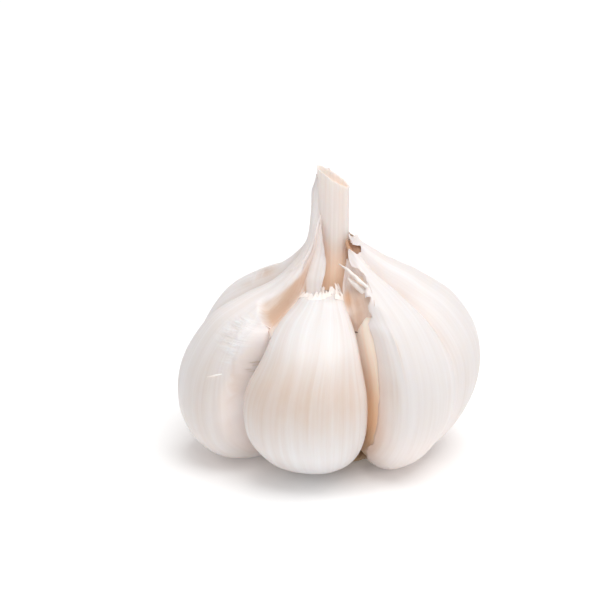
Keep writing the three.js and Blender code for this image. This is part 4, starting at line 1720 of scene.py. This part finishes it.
# ---- Root plate ----
@dataclass
class RootPlate:
    """The crusty disc under the bulb, with a rim of dry root stubs."""

    radius: float = 12.2
    flat: float = 9.4
    height: float = 2.2
    sides: int = 180
    rings: int = 90
    stubs: int = 150
    stub_ring: float = 9.9
    stub_length: float = 1.5
    stub_radius: float = 0.22
    seed: int = 23
    stub_seed: int = 4

    def disc(self) -> bpy.types.Object:
        """The disc itself.

        Returns:
            The piece.
        """
        noise = Waver(self.seed)
        rows = Curve(
            ((0.6, 0.05), (2.5, 0.02), (4.5, 0.06), (6.5, 0.0), (8.0, 0.04), (self.flat, 0.0),
             (self.stub_ring, 0.5), (10.5, 0.42), (11.0, 0.3), (11.6, 0.5), (self.radius, 1.1), (11.8, 1.6),
             (10.6, 1.95), (9.0, self.height), (5.0, self.height), (1.0, self.height))
        )
        r, z = (c[:, None] for c in apart(rows.at(np.linspace(0, rows.top, self.rings))))
        z = np.maximum(z, 0)
        angle = np.linspace(-180, 180, self.sides, endpoint=False)[None, :]
        rim = smoothstep(r, 9.2, 10.6)
        x, y, _ = apart(FORM.around(angle, r, z))
        crust = noise.rough(x * 0.9, y * 0.9, 4)
        z = z + (z < 1.0) * np.abs(crust) * lerp(0.12, 0.45, rim) * smoothstep(r, 0, 1)
        r = r + rim * (0.35 * noise.rough(angle * 0.12, z, 4) + 0.15)
        flow, warm = together(x * 2.2, y * 2.2, z), 0.35 + 0.5 * crust + 0.2 * rim
        shell = Shell.lofted(FORM.around(angle, r, z), flip=True, flow=flow, warm=warm)
        return shell.piece("root_disc", ROOT_CRUST.material())

    def tree(self, material: bpy.types.Material) -> bpy.types.NodeTree:
        """The node tree that rings the plate with cut root stubs.

        Args:
            material: the stubs' finish.

        Returns:
            The tree, whose inputs give the stubs' number, size and seed.
        """
        w, given = planted(
            "root_stubs",
            {"Stubs": "Int", "Rim Radius": "Float", "Length": "Float", "Radius": "Float", "Seed": "Int"},
        )
        seed = given["Seed"]
        ring = w.node("GeometryNodeMeshCircle", {"Vertices": given["Stubs"], "Radius": given["Rim Radius"]})
        jitter = w.stray((-1.1 * MM, -1.1 * MM, 0.45 * MM), (1.1 * MM, 1.1 * MM, 1.2 * MM), seed)
        spread = w.node("GeometryNodeSetPosition", {"Geometry": ring.outputs[0], "Offset": jitter})
        cone = w.node(
            "GeometryNodeMeshCone",
            {"Vertices": 6, "Side Segments": 2, "Radius Top": given["Radius"], "Depth": given["Length"],
             "Radius Bottom": w.times(given["Radius"], 1.5)},
        )
        place = w.node("GeometryNodeInputPosition").outputs[0]
        outward = w.node("ShaderNodeVectorMath", {0: place}, operation="NORMALIZE").outputs[0]
        way = w.vectors("ADD", outward, w.stray((-0.7, -0.7, -0.35), (0.7, 0.7, 0.25), seed))
        turn = w.node("FunctionNodeAlignRotationToVector", {"Vector": way}, axis="Z")
        copies = {"Points": spread.outputs[0], "Instance": cone.outputs[0], "Rotation": turn.outputs[0]}
        scattered(w, {**copies, "Scale": w.sizes(0.5, 1.3, seed)}, material)
        return w.tree

    def build(self) -> None:
        """Makes the disc and its stubs."""
        settle(self.disc(), Slot.ROOT, "root_plate")
        values = {"Stubs": self.stubs, "Rim Radius": self.stub_ring * MM, "Length": self.stub_length * MM,
                  "Radius": self.stub_radius * MM, "Seed": self.stub_seed}
        material = ROOT_FIBRE.material()
        stubs = grown("root_stubs", self.tree(material), values, material)
        for point in stubs.data.vertices:
            point.co.z = max(point.co.z, 0.0)
        settle(stubs, Slot.ROOT)


# ---- Frayed crown ----
@dataclass
class CrownFringe:
    """The frayed scales of dry skin round the front clove's tip."""

    scales: int = 17
    length: float = 1.5
    width: float = 2.4
    thickness: float = 0.04
    curl: float = 0.2
    stray: float = 0.22
    rooted: float = 0.05
    turns: tuple[float, float] = (-0.9, 1.2)
    stations: tuple[float, float] = (9.1, 9.6)
    place_seed: int = 8
    seed: int = 3

    def seats(self) -> Seats:
        """Places over the crown, pointing up it.

        Returns:
            The places, with how each scale points and faces.
        """
        draw = np.random.default_rng(self.place_seed)
        turn = draw.uniform(*self.turns, self.scales)
        station = draw.uniform(*self.stations, self.scales)
        here, above, beside = (
            FORM.section(FORM.bare, station + up, turn + round_by, self.rooted, 0.0)
            for up, round_by in ((0.0, 0.0), (0.05, 0.0), (0.0, 0.03))
        )
        ahead = above - here
        face = np.cross(beside - here, ahead)
        rise = smoothstep(station, 9.0, 9.7)[:, None]
        return Seats(here, unit(ahead) + rise * np.array([0.0, 0.0, 0.9]), unit(face))

    def tree(self, material: bpy.types.Material) -> bpy.types.NodeTree:
        """The node tree that sets a tapered, curled scale on each seat.

        Args:
            material: the scales' finish.

        Returns:
            The tree, whose inputs give the scale's size, its curl, how far it strays and the seed.
        """
        floats = ("Length", "Width", "Thickness", "Curl", "Stray")
        sockets = {"Seats": "Geometry", **dict.fromkeys(floats, "Float"), "Seed": "Int"}
        w, given = planted("crown_scales", sockets)
        size = w.node("ShaderNodeCombineXYZ", {0: given["Width"], 1: given["Length"], 2: given["Thickness"]})
        counts = {"Vertices X": 16, "Vertices Y": 8, "Vertices Z": 2}
        sheet = w.node("GeometryNodeMeshCube", {"Size": size.outputs[0], **counts})
        place = w.node("GeometryNodeInputPosition").outputs[0]
        x, y, z = w.node("ShaderNodeSeparateXYZ", {0: place}).outputs
        share = w.maths("ADD", w.maths("DIVIDE", y, given["Length"]), 0.5)
        taper = w.maths("SUBTRACT", 1.0, w.times(w.maths("POWER", share, 2.0), 0.35))
        bend = w.times(w.times(share, share), given["Curl"])
        across = w.times(w.times(x, x), -110.0)
        threads = {"W": x, "Scale": 1400.0, "Detail": 3.0}
        fray = w.node("ShaderNodeTexNoise", threads, noise_dimensions="1D").outputs[0]
        frayed = w.times(share, w.ramp(fray, 0.35, 0.65, 0.4, 1.25))
        shaped = w.node(
            "ShaderNodeCombineXYZ",
            {0: w.times(x, taper), 1: w.times(frayed, given["Length"]),
             2: w.maths("ADD", w.maths("ADD", z, bend), across)},
        )
        scale = w.node(
            "GeometryNodeSetPosition", {"Geometry": sheet.outputs[0], "Position": shaped.outputs[0]}
        )
        low, high = (
            w.node("ShaderNodeVectorMath", {0: way, "Scale": given["Stray"]}, operation="SCALE").outputs[0]
            for way in ((-1, -1, -1), (1, 1, 1))
        )
        way, face = (
            w.node("GeometryNodeInputNamedAttribute", {"Name": key}, data_type="FLOAT_VECTOR").outputs[0]
            for key in ("way", "face")
        )
        point = w.vectors("ADD", way, w.stray(low, high, given["Seed"]))
        turn = w.node("FunctionNodeAlignRotationToVector", {"Vector": point}, axis="Y")
        turn = w.node(
            "FunctionNodeAlignRotationToVector", {"Rotation": turn.outputs[0], "Vector": face},
            axis="Z", pivot_axis="Y",
        )
        dots = w.node("GeometryNodeMeshToPoints", {"Mesh": given["Seats"]})
        copies = {"Points": dots.outputs[0], "Instance": scale.outputs[0], "Rotation": turn.outputs[0]}
        scattered(w, {**copies, "Scale": w.sizes(0.45, 1.35, given["Seed"])}, material)
        return w.tree

    def build(self) -> None:
        """Makes the scales."""
        values = {"Length": self.length * MM, "Width": self.width * MM, "Thickness": self.thickness * MM,
                  "Curl": self.curl * MM, "Stray": self.stray, "Seed": self.seed}
        material = SHRED.material()
        piece = grown("crown_scales", self.tree(material), values, material, self.seats())
        settle(piece, Slot.CLOVE, "clove_front")


# ---- Studio ----
@dataclass
class Studio:
    """The pale floor, the soft light and the camera. Its lengths are in metres."""

    distance: float = 0.55
    elevation: float = 19.5
    lens: float = 167.0
    sensor: float = 36.0
    aim: Point = (-0.0061, 0.0, 0.0305)
    lit: Point = (0.0, 0.0, 0.03)
    ambient: float = 0.43
    floor_reach: float = 3.0
    lamps: tuple[tuple[str, Point, float, float], ...] = (
        ("top", (0.28, -0.12, 1.5), 1.4, 20.0),
        ("key", (0.5, -1.1, 1.1), 0.9, 1.0),
        ("fill", (-0.1, -1.25, 0.35), 0.7, 0.8),
    )

    def floor(self) -> None:
        """A wide pale floor."""
        far = self.floor_reach
        mesh = bpy.data.meshes.new("floor")
        corners = [(-far, -far, 0), (far, -far, 0), (far, far, 0), (-far, far, 0)]
        mesh.from_pydata(corners, [], [(0, 1, 2, 3)])
        made = linked("floor", mesh)
        material, w, shader = blank("pale_floor")
        place = w.node("ShaderNodeTexCoord").outputs["Object"]
        cloud = w.node("ShaderNodeTexNoise", {"Vector": place, "Scale": 3.0}).outputs[0]
        w.feed(shader, {
            "Base Color": w.blend(cloud, (0.93, 0.93, 0.93, 1.0), (0.95, 0.95, 0.95, 1.0)),
            "Roughness": 0.9,
            "Specular IOR Level": 0.1,
            "Emission Color": (1.0, 1.0, 1.0, 1.0),
            "Emission Strength": 0.1,
        })
        mesh.materials.append(material)

    def lamp(self, name: str, place: Point, size: float, power: float) -> None:
        """A soft square lamp that faces the bulb.

        Args:
            name: its name.
            place: where it stands.
            size: the length of its side.
            power: its power, in watts.
        """
        data = bpy.data.lights.new(name, "AREA")
        data.size, data.energy = size, power
        lamp = linked(name, data)
        lamp.location = place
        lamp.rotation_euler = (Vector(place) - Vector(self.lit)).to_track_quat("Z", "Y").to_euler()

    def camera(self) -> None:
        """The camera, which looks slightly down on the bulb."""
        data = bpy.data.cameras.new("camera")
        data.lens, data.sensor_width = self.lens, self.sensor
        camera = linked("camera", data)
        rise = math.radians(self.elevation)
        back = Vector((0, -math.cos(rise), math.sin(rise)))
        camera.location = Vector(self.aim) + back * self.distance
        camera.rotation_euler = back.to_track_quat("Z", "Y").to_euler()
        bpy.context.scene.camera = camera

    def build(self) -> None:
        """Sets the whole studio up."""
        self.floor()
        world = bpy.data.worlds.new("studio")
        world.use_nodes = True
        sky = world.node_tree.nodes["Background"]
        sky.inputs["Color"].default_value = (1.0, 1.0, 1.0, 1.0)
        sky.inputs["Strength"].default_value = self.ambient
        bpy.context.scene.world = world
        for lamp in self.lamps:
            self.lamp(*lamp)
        bpy.context.scene.view_settings.view_transform = "Standard"
        self.camera()


def main() -> None:
    """Builds the studio and each sub-assembly in turn."""
    logging.basicConfig(level=logging.INFO, format="%(name)s: %(message)s")
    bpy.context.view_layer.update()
    Studio().build()
    RootPlate().build()
    Stem().build()
    CloveRing().build()
    Wrapper().build()
    COLLAR.build()
    CAVITY_WEB.build()
    TornStrips().build()
    CrownFringe().build()


if __name__ == "__main__":
    main()
